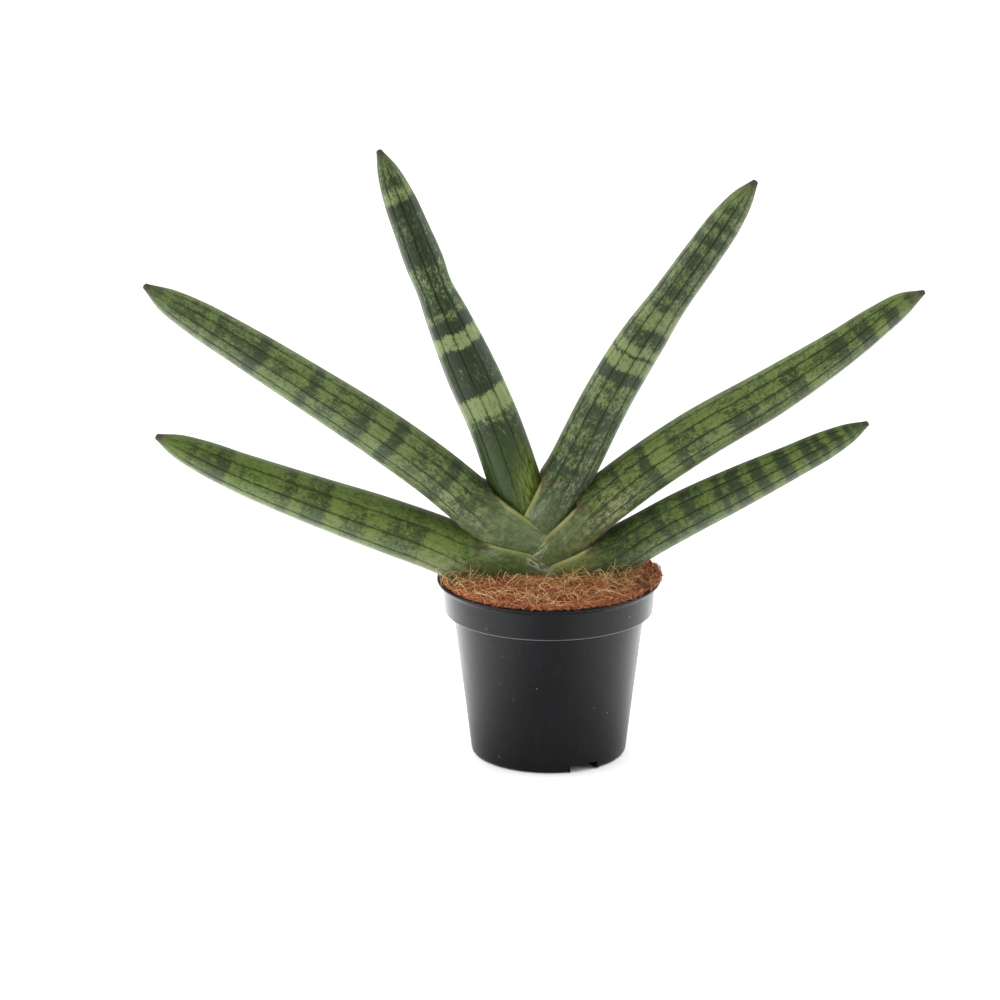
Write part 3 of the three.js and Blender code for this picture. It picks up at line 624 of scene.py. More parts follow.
def plan_leaf(leaf):
    """Adds a leaf's centre line and its sheath's measures to it."""
    line = LeafLine(leaf)
    leaf["line"] = line
    leaf["reaches"] = []
    tries = np.arange(0.5, 1.0001, 0.002)
    centres = line.at(tries)[0]
    if leaf["margin"]:
        for x, z in leaf["margin"] + [margin_beyond(leaf, SHEATH_RUNS_ON)]:
            away = np.hypot(centres[:, 0] - x, centres[:, 2] - z)
            leaf["reaches"].append((tries[away.argmin()], away.min()))
    closed = 1 - CLOSED_SHEATH / line.length
    leaf["sheath"] = leaf["reaches"][0][0] if leaf["reaches"] else closed


def section(leaf, share):
    """The centre, directions, half sizes and roundness of a leaf's sections."""
    line = leaf["line"]
    sheath = leaf["sheath"]
    unit = 1 / line.length
    centre, ahead, up, half_width = line.at(share)
    share = np.atleast_1d(share)
    above = half_width
    if leaf["reaches"]:
        at, reach = np.array(leaf["reaches"]).T
        more = SHEATH_SPREAD_BELOW - SHEATH_SPREAD_ABOVE
        spread = SHEATH_SPREAD_ABOVE + more * ease(share, sheath, sheath + SHEATH_WIDENS_BELOW * unit)
        wide = np.maximum(half_width, np.interp(share, at, reach) * spread)
        opened = ease(share, sheath - SHEATH_WIDENS_ABOVE * unit, sheath)
        above = half_width + (wide - half_width) * opened
    deep = ease(share, sheath - SHEATH_DEEPENS * unit, sheath)
    half_depth = DEPTH_SHARE * half_width * (1 - deep) + leaf["half_depth"] * deep
    run = SHEATH_WIDENS_BELOW * unit
    fullness = 2 + 2 * ease(share, sheath - run, sheath + run)
    return centre, ahead, up, half_width, above, half_depth, fullness


def blade(leaf, name, grow, angles, step_mm, material):
    """The whole leaf before its sheath is opened, larger all round by grow."""
    line = leaf["line"]
    pitch = 360 / leaf["grooves"]
    around = np.array(angles) * pitch / TEN_GROOVES_PITCH
    corners = [leaf["first"] + g * pitch + around for g in range(leaf["grooves"])]
    corners = np.concatenate(corners)
    offset = np.tile(np.array(angles, float), leaf["grooves"])
    backs = TIP_LENGTH * np.array([0.98, 0.9, 0.75, 0.5, 0.25])
    count = int(line.length / step_mm)
    shares = np.concatenate([np.zeros(len(backs)), np.linspace(0, 1, count + 1)])
    back = np.concatenate([backs, np.zeros(count + 1)])
    scale = np.sqrt(1 - (back / TIP_LENGTH) ** 2.4)
    centre, ahead, up, half_width, above, half_depth, fullness = section(leaf, shares)
    twist = leaf["twist"] * np.exp(-shares / TWIST_FADES)
    turned_by = np.radians(corners[None, :] - twist[:, None])
    c, s = np.cos(turned_by), np.sin(turned_by)
    power = np.where(c > 0, fullness[:, None], 2.0)
    reach = (np.abs(c) ** power + np.abs(s) ** power) ** (-1 / power)
    grooved = ease(shares, *GROOVES_START) * (1 - GROOVE_LOSS * ease(shares, *GROOVES_FADE))
    slit = GROOVE_DEPTH * np.clip(1 - np.abs(offset) / GROOVE_HALF_WIDTH, 0, 1)
    dip = DIP_DEPTH * (1 - ease(np.abs(offset), 0, DIP_HALF_WIDTH))
    depth = grooved[:, None] * (slit + dip)[None, :] * (0 if grow else 1)
    width = np.where(c > 0, above[:, None], half_width[:, None])
    upwards = (width * reach - depth + grow) * c * scale[:, None]
    frontwards = (half_depth[:, None] * reach - depth + grow) * s * scale[:, None]
    points = centre[:, None, :] + up[:, None, :] * upwards[:, :, None]
    points = points - ahead[:, None, :] * back[:, None, None]
    points[:, :, 1] -= frontwards
    if grow:
        last = points[-1] + ahead[-1] * grow
        points = np.concatenate([points, last[None]])
    rings, sides = points.shape[:2]
    tip = centre[0] - ahead[0] * (TIP_LENGTH + grow)
    base = centre[-1] + ahead[-1] * grow
    vertices = np.vstack([points.reshape(-1, 3), tip, base])
    i, j = np.meshgrid(np.arange(rings - 1), np.arange(sides), indexing="ij")
    a = (i * sides + j).ravel()
    b = (i * sides + (j + 1) % sides).ravel()
    quads = np.column_stack([a, b, b + sides, a + sides])
    j = np.arange(sides)
    k = (j + 1) % sides
    end = (rings - 1) * sides
    near = np.column_stack([j, np.full(sides, rings * sides), k])
    far = np.column_stack([end + j, end + k, np.full(sides, rings * sides + 1)])
    if leaf["side"] < 0:
        quads, near, far = quads[:, ::-1], near[:, ::-1], far[:, ::-1]
    return solid(name, vertices, quads.tolist() + near.tolist() + far.tolist(), material)


def opening(leaf, shift, material):
    """What opens a sheath: everything on the inner side of its margin, right through the leaf."""
    unit = 1 / leaf["line"].length
    edge = []
    for runs in (1.2, 0.8, 0.4, 0.1):
        share = leaf["sheath"] - runs * SHEATH_WIDENS_ABOVE * unit
        centre, _, up, half_width = leaf["line"].at(share)
        point = centre[0] + up[0] * (half_width[0] + CUT_LIFT + shift)
        edge.append((point[0], point[2]))
    up = leaf["line"].at(leaf["sheath"])[2][0]
    inwards = np.array([up[0], up[2]])
    margin = [np.array(point) + inwards * shift for point in leaf["margin"]]
    end = np.array(margin_beyond(leaf, CUT_RUNS_ON)) + inwards * shift
    away = inwards * CUT_RUNS_ON
    outline = [np.array(edge[0]) + away, *edge, *margin, end, end + away]
    count = len(outline)
    points = [(x, y, z) for y in (-CUT_HALF_DEPTH, CUT_HALF_DEPTH) for x, z in outline]
    faces = [tuple(range(count)), tuple(range(2 * count - 1, count - 1, -1))]
    for i in range(count):
        k = (i + 1) % count
        faces.append((i, i + count, k + count, k))
    prism = solid("opening", points, faces, material)
    mesh = bmesh.new()
    mesh.from_mesh(prism.data)
    bmesh.ops.recalc_face_normals(mesh, faces=mesh.faces)
    mesh.to_mesh(prism.data)
    mesh.free()
    return prism


def keep_largest(piece):
    """Drops the slivers that a cut leaves, and keeps the largest part."""
    mesh = bmesh.new()
    mesh.from_mesh(piece.data)
    bmesh.ops.remove_doubles(mesh, verts=mesh.verts, dist=0.004 * MM)
    left = set(mesh.verts)
    islands = []
    while left:
        seed = left.pop()
        island = [seed]
        for vertex in island:
            for edge in vertex.link_edges:
                other = edge.other_vert(vertex)
                if other in left:
                    left.discard(other)
                    island.append(other)
        islands.append(island)
    islands.sort(key=len)
    for island in islands[:-1]:
        bmesh.ops.delete(mesh, geom=island, context="VERTS")
    mesh.to_mesh(piece.data)
    mesh.free()


def leaf_room(leaf):
    """The tool that cuts a leaf's room, with the gap round it, out of another piece."""
    room = blade(leaf, "room", GAP, COARSE_ANGLES, COARSE_STEP, plain)
    if leaf["margin"]:
        combine(room, "DIFFERENCE", opening(leaf, GAP, plain))
    return room


def places_of(piece):
    """The points of a piece in metres, as rows of x, y and z."""
    places = np.empty(len(piece.data.vertices) * 3)
    piece.data.vertices.foreach_get("co", places)
    return places.reshape(-1, 3)


def beside_margin(leaf, xyz):
    """How far each point is from the sheath's margin, and how far down the margin that is."""
    if not leaf["margin"]:
        return np.full(len(xyz), NO_MARGIN), np.full(len(xyz), NO_MARGIN)
    ends = np.array(leaf["margin"] + [margin_beyond(leaf, RIM_RUNS_ON)])
    nearest = np.full(len(xyz), np.inf)
    run_there = np.zeros(len(xyz))
    run = 0.0
    for (x0, z0), (x1, z1) in zip(ends[:-1], ends[1:]):
        length = math.hypot(x1 - x0, z1 - z0)
        dx, dz = (x1 - x0) / length, (z1 - z0) / length
        past = np.clip((xyz[:, 0] - x0) * dx + (xyz[:, 2] - z0) * dz, 0, length)
        away = np.hypot(xyz[:, 0] - x0 - past * dx, xyz[:, 2] - z0 - past * dz)
        closer = away < nearest
        nearest[closer] = away[closer]
        run_there[closer] = run + past[closer]
        run += length
    return np.minimum(nearest, NO_MARGIN), run_there


def write_places(leaf, piece):
    """Stores where each point lies on its leaf, for the skin's pattern."""
    mesh = piece.data
    line = leaf["line"]
    xyz = places_of(piece) / MM
    tries = np.linspace(0, 1, 1201)
    centres, aheads = line.at(tries)[:2]
    nearest = np.empty(len(xyz), int)
    for start in range(0, len(xyz), 4000):
        part = xyz[start:start + 4000, None]
        away = np.hypot(part[:, :, 0] - centres[None, :, 0], part[:, :, 2] - centres[None, :, 2])
        nearest[start:start + 4000] = away.argmin(axis=1)
    beyond = ((xyz - centres[nearest]) * aheads[nearest]).sum(axis=1)
    share = np.clip(tries[nearest] + beyond / line.length, 0, 1)
    centre, ahead, up, half_width, above, half_depth, _ = section(leaf, share)
    upwards = ((xyz - centre) * up).sum(axis=1)
    frontwards = centre[:, 1] - xyz[:, 1]
    width = np.where(upwards > 0, above, half_width)
    angle = np.degrees(np.arctan2(frontwards / half_depth, upwards / width))
    along = share * line.length + np.where(share <= 0, beyond, 0)
    round_leaf = np.radians(angle)
    grain = np.column_stack([GRAIN_RADIUS * np.cos(round_leaf), GRAIN_RADIUS * np.sin(round_leaf), along])
    mesh.attributes.new("grain", "FLOAT_VECTOR", "POINT").data.foreach_set("vector", grain.ravel())
    for name, values in zip(("margin", "margin_run"), beside_margin(leaf, xyz)):
        mesh.attributes.new(name, "FLOAT", "POINT").data.foreach_set("value", values)

    # the map: across it strips between grooves, numbered round the leaf, and along it the length
    pitch = 360 / leaf["grooves"]
    strip = (angle + leaf["twist"] * np.exp(-share / TWIST_FADES) - leaf["first"]) / pitch
    corner_vertex = np.empty(len(mesh.loops), int)
    mesh.loops.foreach_get("vertex_index", corner_vertex)
    starts = np.empty(len(mesh.polygons), int)
    sizes = np.empty(len(mesh.polygons), int)
    mesh.polygons.foreach_get("loop_start", starts)
    mesh.polygons.foreach_get("loop_total", sizes)
    first_of_face = np.repeat(strip[corner_vertex[starts]], sizes)
    corner = strip[corner_vertex]
    corner += leaf["grooves"] * np.round((first_of_face - corner) / leaf["grooves"])
    layer = mesh.uv_layers.new(name="leaf")
    uv = np.column_stack([corner, along[corner_vertex] / MAP_LENGTH])
    layer.data.foreach_set("uv", uv.ravel())


def leaf_skin(leaf, shades, sheath_tones):
    """The waxy skin: dark bands that step at the grooves and break up into specks on a paler
    ground, dark lines in the grooves, pale sheath margins and a dried tip. The shades run from
    the darkest to the palest."""
    finish = Finish(leaf["name"] + " skin")
    length = leaf["line"].length
    sheath_at = leaf["sheath"] * length
    smooth_at = leaf.get("smooth_from", sheath_at)
    pitch = 2 * math.pi / leaf["grooves"]
    strip_mm = STRIP_RADIUS * pitch
    u, v, _ = finish.parts(finish.add("ShaderNodeUVMap", {"uv_map": "leaf"}))
    along = v * MAP_LENGTH
    grain = finish.attribute("grain", "Vector")
    upper = finish.parts(grain)[0] / GRAIN_RADIUS
    margin = finish.attribute("margin")
    margin_run = finish.attribute("margin_run")

    def patches(across, lengthwise, detail, roughness=0.5):
        """Noise in patches of about this many millimetres across the leaf and along it."""
        scaled = finish.stretch(grain, (1 / across, 1 / across, 1 / lengthwise))
        return finish.noise(scaled, 1.0, detail, roughness)

    # strips between grooves, each a little different
    wander = patches(7, 9, 1.0)
    line_u = u + 0.05 * (wander - 0.5)
    strip = finish.math("FLOORED_MODULO", finish.math("FLOOR", line_u), leaf["grooves"])
    one_a_strip = {"noise_dimensions": "1D"}
    chance = finish.add("ShaderNodeTexWhiteNoise", one_a_strip, {"W": strip + 0.37}, "Color")
    shift, shade_shift, start = finish.parts(chance)
    groove_mm = finish.math("PINGPONG", line_u, 0.5) * strip_mm
    facing_up = finish.math("COSINE", (strip + 0.5) * pitch + math.radians(leaf["first"]))
    lined = finish.step(along, 2.5, 8) * finish.fall(along, smooth_at + 2, smooth_at + 26)
    lined = lined * finish.fall(finish.math("ABSOLUTE", upper), 0.90, 0.97)

    # bands, broken up into specks
    ragged = patches(0.9, 3, 3.0, 0.6)
    wave = patches(9, 30, 1.0)
    reach = (along - leaf["slant"] * upper + 1.2 * (shift - 0.5) + 2.0 * (wave - 0.5)
             + 3.0 * (ragged - 0.5))

    def levels(column):
        """How dark the strips of one column of the leaf's bands are, all along it."""
        curve_node = finish.add("ShaderNodeFloatCurve", None, {"Value": reach / length})
        mapping = curve_node.socket.node.mapping
        points = mapping.curves[0].points
        rows = BANDS[leaf["name"]]
        points[0].location = (0.0, rows[0][column])
        points[1].location = (1.0, rows[-1][column])
        for row in rows[1:]:
            points.new(row[0] / length, row[column])
            if row is not rows[-1]:
                points.new(row[1] / length, row[column])
        for point in points:
            point.handle_type = "VECTOR"
        mapping.update()
        return curve_node

    is_upper = finish.math("GREATER_THAN", facing_up, 0.5)
    is_lower = finish.math("LESS_THAN", facing_up, 0.0)
    tone = is_upper * levels(2) + (1 - is_upper - is_lower) * levels(3) + is_lower * levels(4)
    speck = patches(1.2, 1.6, 2.0, 0.5)
    blotch = patches(2.8, 3.2, 3.0, 0.6)
    cloud = patches(9, 8, 2.0)
    dash = patches(0.5, 5.0, 2.0, 0.55)
    creep = finish.fall(groove_mm, 0.1, 1.6) * lined
    fleck = finish.step(patches(0.9, 1.2, 2.0, 0.5), 0.55, 0.68) * tone
    light = (1.05 - tone - 0.3 * fleck + 0.50 * (speck - 0.5) + 0.50 * (blotch - 0.5)
             + 0.16 * (cloud - 0.5) + 0.06 * (shade_shift - 0.5)
             + 0.5 * (dash - 0.5) * finish.step(along, 60, 130) - 0.14 * creep)
    ramp = finish.add("ShaderNodeValToRGB", None, {"Fac": light})
    elements = ramp.socket.node.color_ramp.elements
    elements.remove(elements[-1])
    elements[0].position = 0.12
    elements[0].color = shades[0]
    for place, shade in zip((0.34, 0.50, 0.64, 0.86), shades[1:]):
        elements.new(place).color = shade
    finish.colour = ramp

    # painted light and shade: darker on the lower side, yellower and lighter on the upper side, paler and
    # greyer at the upper and lower edges; and faded near the sheath
    pale = finish.step(light, 0.3, 0.62)
    # painted shade on the lower side
    finish.tint(finish.fall(upper, -0.8, 0.3) * 0.2, 28, 38, 20)
    # painted light on the upper side
    finish.tint(finish.step(upper, 0.1, 0.9) * pale * 0.2, 92, 118, 46)
    # painted rim light, pale grey, at the lower and upper edges
    finish.tint(finish.fall(upper, -1.0, -0.74) * 0.3, 134, 144, 118)
    finish.tint(finish.step(upper, 0.9, 1.0) * 0.2, 132, 142, 108)
    near_sheath = finish.step(along, sheath_at - 34, sheath_at - 12)
    near_sheath = near_sheath * finish.fall(along, sheath_at + 6, sheath_at + 26)
    faded = (near_sheath * finish.fall(upper, -0.1, 0.6) * finish.step(blotch, 0.25, 0.8)
             * leaf["faded"])
    finish.tint(faded * (0.25 + 0.5 * pale), 132, 122, 92)

    # the smooth base and sheath, with a faint bloom beside its margin that is partly real bloom and partly
    # painted sheen with painted glints, and, on the leaf without a margin, a painted glow on its lit side
    clasp = finish.step(along, smooth_at - 6, smooth_at + 16)
    if leaf["margin"]:
        clasp = clasp * (0.4 + 0.6 * finish.fall(margin, 6, 18))
    else:
        clasp = clasp * 0.85
    grown = finish.blend(patches(0.5, 14, 3.0), sheath_tones[0], sheath_tones[1])
    grown = finish.blend(finish.step(patches(2.0, 6, 4.0, 0.65), 0.42, 0.68) * 0.5, grown, shades[1])
    if leaf["margin"]:
        pale_flecks = finish.step(patches(0.8, 2.6, 3.0, 0.6), 0.5, 0.7)
        grown = finish.blend(pale_flecks * 0.25, grown, paint(130, 138, 102))
    else:
        # painted light: on the leaf without a margin, the lit upper side of the base glows yellow-green in
        # streaks
        lit_side_glow = finish.step(upper + 0.02 * (along - 190), -0.2, 0.8) * finish.step(dash, 0.25, 0.65)
        grown = finish.blend(lit_side_glow * finish.step(along, 160, 192), grown, paint(108, 122, 40))
    finish.colour = finish.blend(clasp, finish.colour, grown)
    wear_and_highlight = clasp * finish.fall(upper, -0.9, 0.1) * finish.step(patches(3, 12, 3.0), 0.3, 0.6)
    finish.tint(wear_and_highlight * leaf["faded"] * 0.7, 84, 76, 46)
    # partly the sheath's real bloom and partly a painted sheen; the glints on it are painted highlights
    bloom_and_sheen = clasp * finish.step(patches(5, 16, 2.0), 0.35, 0.85) * finish.fall(margin, 4, 12)
    finish.tint(bloom_and_sheen * 0.3, 118, 134, 112)
    glint = finish.step(patches(0.35, 2.4, 3.0, 0.6), 0.5, 0.72)
    finish.tint(bloom_and_sheen * glint * 0.35, 150, 160, 144)
    # a painted highlight, whitish, at the far end of the sheath's margin
    far_end_highlight = finish.step(margin_run, 20, 34) * finish.fall(margin, 2.5, 8)
    far_end_highlight = far_end_highlight * finish.step(patches(0.5, 3.5, 4.0, 0.65), 0.36, 0.66)
    finish.tint(far_end_highlight * leaf["shine"], 186, 190, 166)

    # lines in the grooves with painted shade beside them, and finer lines between them in the lower half
    drawn = patches(5, 16, 2.0)
    line_mask = finish.fall(groove_mm, 0.06, 0.30) * lined * (0.5 + 0.5 * drawn)
    # painted shade beside the grooves
    beside = finish.fall(groove_mm, 0.2, 1.2) * lined * 0.12
    mid_u = line_u + 0.5 + 0.12 * (start - 0.5)
    mid_mm = finish.math("PINGPONG", mid_u, 0.5) * strip_mm
    from_mm = length * (0.26 + 0.34 * start)
    late = finish.step(along - from_mm, 0, 14) * finish.fall(along, smooth_at + 2, smooth_at + 20)
    mid_mask = finish.fall(mid_mm, 0.08, 0.34) * late * (0.3 + 0.5 * drawn)
    finish.colour = finish.blend(beside, finish.colour, shades[0])
    finish.tint(line_mask * 0.8, 40, 50, 26)
    finish.tint(mid_mask * 0.7, 40, 52, 30)

    # the sheath's pale margin, its brown top, painted shade in the crease at the margin's top, and the
    # dried tip
    edge_width = 0.35 + 1.15 * finish.step(margin_run, 0, 9)
    rim = finish.fall(margin / edge_width, 0.4, 1.7) * finish.step(margin_run, 0.0, 1.0)
    rim_colour = finish.blend(patches(2, 9, 2.0), paint(104, 108, 48), paint(144, 146, 90))
    rim_colour = finish.blend(finish.fall(margin_run, 0.8, 5.0), rim_colour, paint(120, 94, 50))
    finish.colour = finish.blend(rim * 0.9, finish.colour, rim_colour)
    if leaf["margin"]:
        # painted shade, brownish, in the crease at the top of the margin
        crease_shade = finish.fall(margin_run + margin * 0.5, 0.5, 4.5) * finish.step(margin, 0.1, 1.0)
        finish.tint(crease_shade * 0.55, 62, 48, 28)
    dried = finish.fall(along + 2.4 * (speck - 0.5), 0.8, 4.2)
    browning = finish.fall(along + 5.0 * (blotch - 0.5), 2.0, 10.0) * 0.4
    finish.tint(browning, 68, 70, 46)
    finish.tint(dried * 0.9, 60, 56, 42)
    # painted shade and brown light reflected from the coir, on the leaves low down near the coir
    height = finish.parts(finish.mm())[2]
    finish.tint(finish.fall(height, 98, 115) * 0.5, 56, 52, 28)

    relief = finish.bump(patches(0.4, 0.7, 3.0, 0.6) * 0.4 + dash * 0.4 + speck * 0.2, 0.07)
    roughness = 0.42 + 0.1 * speck - 0.06 * clasp + 0.3 * dried
    return finish.set(Base_Color=finish.colour, Normal=relief, Roughness=roughness,
                      Specular_IOR_Level=0.2, Sheen_Weight=0.15, Sheen_Roughness=0.25,
                      Coat_Weight=0.25 * bloom_and_sheen, Coat_Roughness=0.3)


# the skin's colours, from the darkest band to the palest ground, and the sheath's two tones
SHADES = {
    "leaf_left_high": ((28, 40, 23), (39, 51, 27), (59, 72, 39), (89, 103, 63), (111, 124, 79)),
    "leaf_right_high": ((36, 48, 28), (48, 60, 34), (66, 78, 45), (85, 97, 57), (103, 114, 72)),
    "leaf_left_middle": ((44, 55, 34), (56, 68, 39), (73, 86, 46), (86, 101, 53), (95, 108, 64)),
    "leaf_right_middle": ((40, 52, 29), (55, 66, 34), (71, 85, 39), (86, 101, 49), (93, 106, 57)),
    "leaf_left_low": ((42, 53, 26), (52, 65, 29), (66, 82, 33), (77, 93, 38), (86, 101, 47)),
    "leaf_right_low": ((37, 49, 26), (46, 59, 29), (60, 75, 32), (74, 89, 38), (85, 100, 47)),
}
SHEATHS = {
    "leaf_left_high": ((25, 43, 10), (46, 68, 16)),
    "leaf_right_high": ((54, 69, 34), (80, 92, 48)),
    "leaf_left_middle": ((62, 80, 46), (94, 104, 68)),
    "leaf_right_middle": ((58, 71, 34), (90, 99, 52)),
    "leaf_left_low": ((50, 70, 28), (82, 98, 44)),
    "leaf_right_low": ((84, 96, 42), (126, 130, 66)),
}

plain = bpy.data.materials.new("cutting tool")
for leaf in LEAVES:
    plan_leaf(leaf)

for order, leaf in enumerate(LEAVES):
    shades = [paint(*shade) for shade in SHADES[leaf["name"]]]
    tones = [paint(*tone) for tone in SHEATHS[leaf["name"]]]
    skin = leaf_skin(leaf, shades, tones)
    piece = blade(leaf, leaf["name"] + "_skin", 0, FINE_ANGLES, FINE_STEP, skin)
    if leaf["margin"]:
        combine(piece, "DIFFERENCE", opening(leaf, 0, plain))
    for younger in LEAVES[:order]:
        combine(piece, "DIFFERENCE", leaf_room(younger))
    keep_largest(piece)
    write_places(leaf, piece)
    one_finish(piece, skin)
    smooth(piece, 40)
    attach(piece, "root")
    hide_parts(leaf["name"])

# ================================================================ rhizome
# The short stem that all the leaves grow from, with its thick roots: tan, woody and matt. It is
# buried in the coir and doesn't show, so the CAD's own mesh gets a finish and is kept as it is.


def root_bark():
    """Pale corky bark with darker rings."""
    finish = Finish("root bark")
    place = finish.mm()
    rings = finish.noise(finish.stretch(place, (0.3, 0.3, 1.6)), 0.5, 3.0)
    colour = finish.blend(rings, paint(150, 108, 62), paint(196, 156, 100))
    return finish.set(Base_Color=colour, Roughness=0.8, Normal=finish.bump(rings, 0.3))


rhizome = frame["nodes"]["rhizome"]
one_finish(rhizome, root_bark())

# ================================================================ coir
# A plug of pressed coconut fibre fills the pot, packed round the roots and heaped against the
# leaves on the right. Its surface is a tangle of short reddish fibres, loose on it, with a few
# long pale straws.
COIR_EDGE_Z = 96.5
COIR_EDGE_RADIUS = 56.4
DOME_HEIGHT = 5.5
LUMP_HEIGHT = 0.9
HEAP_PLACE = (45, 12)
HEAP_RADIUS = 14
HEAP_HEIGHT = 5
PLUG_RINGS = 60
PLUG_SIDES = 160
PLUG_WALL = ((55.6, 94.5), (54.4, 80.8), (49.9, 80.8), (39.8, 4.0), (38.4, 1.4))
ROOT_HOLE = [(0, 26), (19, 28), (23, 40), (23, 70), (17, 88), (0, 88)]
COVER_ROOM = WALL + GAP
DAMP_SPOT = (50, -23, 101)


def coir_height(x, y):
    """The height of the coir's surface: a low dome, the heap on the right and small lumps."""
    r = np.clip(np.hypot(x, y) / COIR_EDGE_RADIUS, 0, 1)
    away = np.hypot(x - HEAP_PLACE[0], y - HEAP_PLACE[1]) / HEAP_RADIUS
    lumps = np.sin(x * 0.41 + 1) * np.cos(y * 0.47) + 0.6 * np.sin(0.9 * x - 0.8 * y)
    rough = LUMP_HEIGHT * lumps + HEAP_HEIGHT * np.exp(-away * away)
    return COIR_EDGE_Z + DOME_HEIGHT * (1 - r**3) + rough * (1 - r**6)


def crumbs(x, y):
    """The plug's fine unevenness."""
    return (0.45 * np.sin(1.9 * x + 0.7 * y) * np.sin(1.3 * y - 0.4 * x + 1)
            + 0.35 * np.sin(3.1 * x - 1.7 * y + 2) * np.sin(2.7 * y + 1.1 * x))


def pressed_coir():
    """The brown mass under the loose fibres."""
    finish = Finish("pressed coir")
    place = finish.mm()
    grain = finish.noise(finish.stretch(place, (1.0, 1.7, 1.0)), 0.55, 5.0, 0.7)
    dark = finish.noise(place, 0.16, 3.0)
    finish.colour = finish.blend(grain, paint(84, 50, 30), paint(160, 104, 64))
    finish.tint(finish.step(dark, 0.62, 0.85) * 0.6, 58, 37, 25)
    return finish.set(Base_Color=finish.colour, Roughness=0.92, Normal=finish.bump(grain, 1.0),
                      Specular_IOR_Level=0.2)


coir_brown = pressed_coir()


def plug_mesh():
    """Points and faces of the plug: rings over its top, then down the pot's wall to the foot."""
    sides = PLUG_SIDES
    angles = np.arange(sides) * 2 * math.pi / sides
    points = [(0.0, 0.0, float(coir_height(0, 0)))]
    for i in range(1, PLUG_RINGS + 1):
        radius = COIR_EDGE_RADIUS * i / PLUG_RINGS
        x, y = radius * np.cos(angles), radius * np.sin(angles)
        z = coir_height(x, y) + crumbs(x, y) * (1 - (i / PLUG_RINGS) ** 8)
        points += np.column_stack([x, y, z]).tolist()
    for radius, z in PLUG_WALL:
        points += [(radius * math.cos(a), radius * math.sin(a), z) for a in angles]
    last = len(points)
    points.append((0.0, 0.0, PLUG_WALL[-1][1]))
    faces = []
    for j in range(sides):
        k = (j + 1) % sides
        faces.append((0, 1 + j, 1 + k))
        for i in range(PLUG_RINGS + len(PLUG_WALL) - 1):
            low = 1 + i * sides
            faces.append((low + j, low + j + sides, low + k + sides, low + k))
        faces.append((last - sides + j, last, last - sides + k))
    return points, faces


plug = solid("coir_plug", *plug_mesh(), coir_brown)

# the loose strands are laid on a copy of the plug that isn't cut, so that they cross every cut
surface = plug.copy()
surface.data = plug.data.copy()
surface.name = "coir surface"
bpy.context.scene.collection.objects.link(surface)
combine(plug, "DIFFERENCE", solid("hole", *turned(ROOT_HOLE, 40), plain))
for direction in CHANNEL_DIRECTIONS:
    low = (CHANNEL_INNER_RADIUS - COVER_ROOM, -CHANNEL_WIDTH / 2 - COVER_ROOM, -1)
    high = (FOOT_RADIUS + 4, CHANNEL_WIDTH / 2 + COVER_ROOM, CHANNEL_HEIGHT + COVER_ROOM)
    combine(plug, "DIFFERENCE", block("room", low, high, direction, plain))
for leaf in LEAVES:
    combine(plug, "DIFFERENCE", leaf_room(leaf))
keep_largest(plug)
one_finish(plug, coir_brown)
smooth(plug, 60)
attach(plug, "root")
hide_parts("coir")


def fibre_finish(name, dark, middle, light):
    """Dry coconut fibre: each strand has its own tone between dark and light."""
    finish = Finish(name)
    tone = finish.attribute("tone")
    finish.colour = finish.blend(finish.step(tone, 0.0, 0.5), paint(*dark), paint(*middle))
    finish.tint(finish.step(tone, 0.5, 1.0), *light)
    place = finish.mm()
    mottle = finish.noise(place, 0.7, 2.0)
    finish.tint(mottle * 0.28, *dark)
    finish.tint(finish.fall(finish.distance(place, DAMP_SPOT), 3.0, 7.5) * 0.65, 80, 46, 28)
    return finish.set(Base_Color=finish.colour, Roughness=0.75, Specular_IOR_Level=0.3)


STRAND_SIDES = 3
RAY_FROM = 0.2  # metres above the foot, well over the coir
RAY_LENGTH = 0.13
BENDS_A_METRE = 90.0


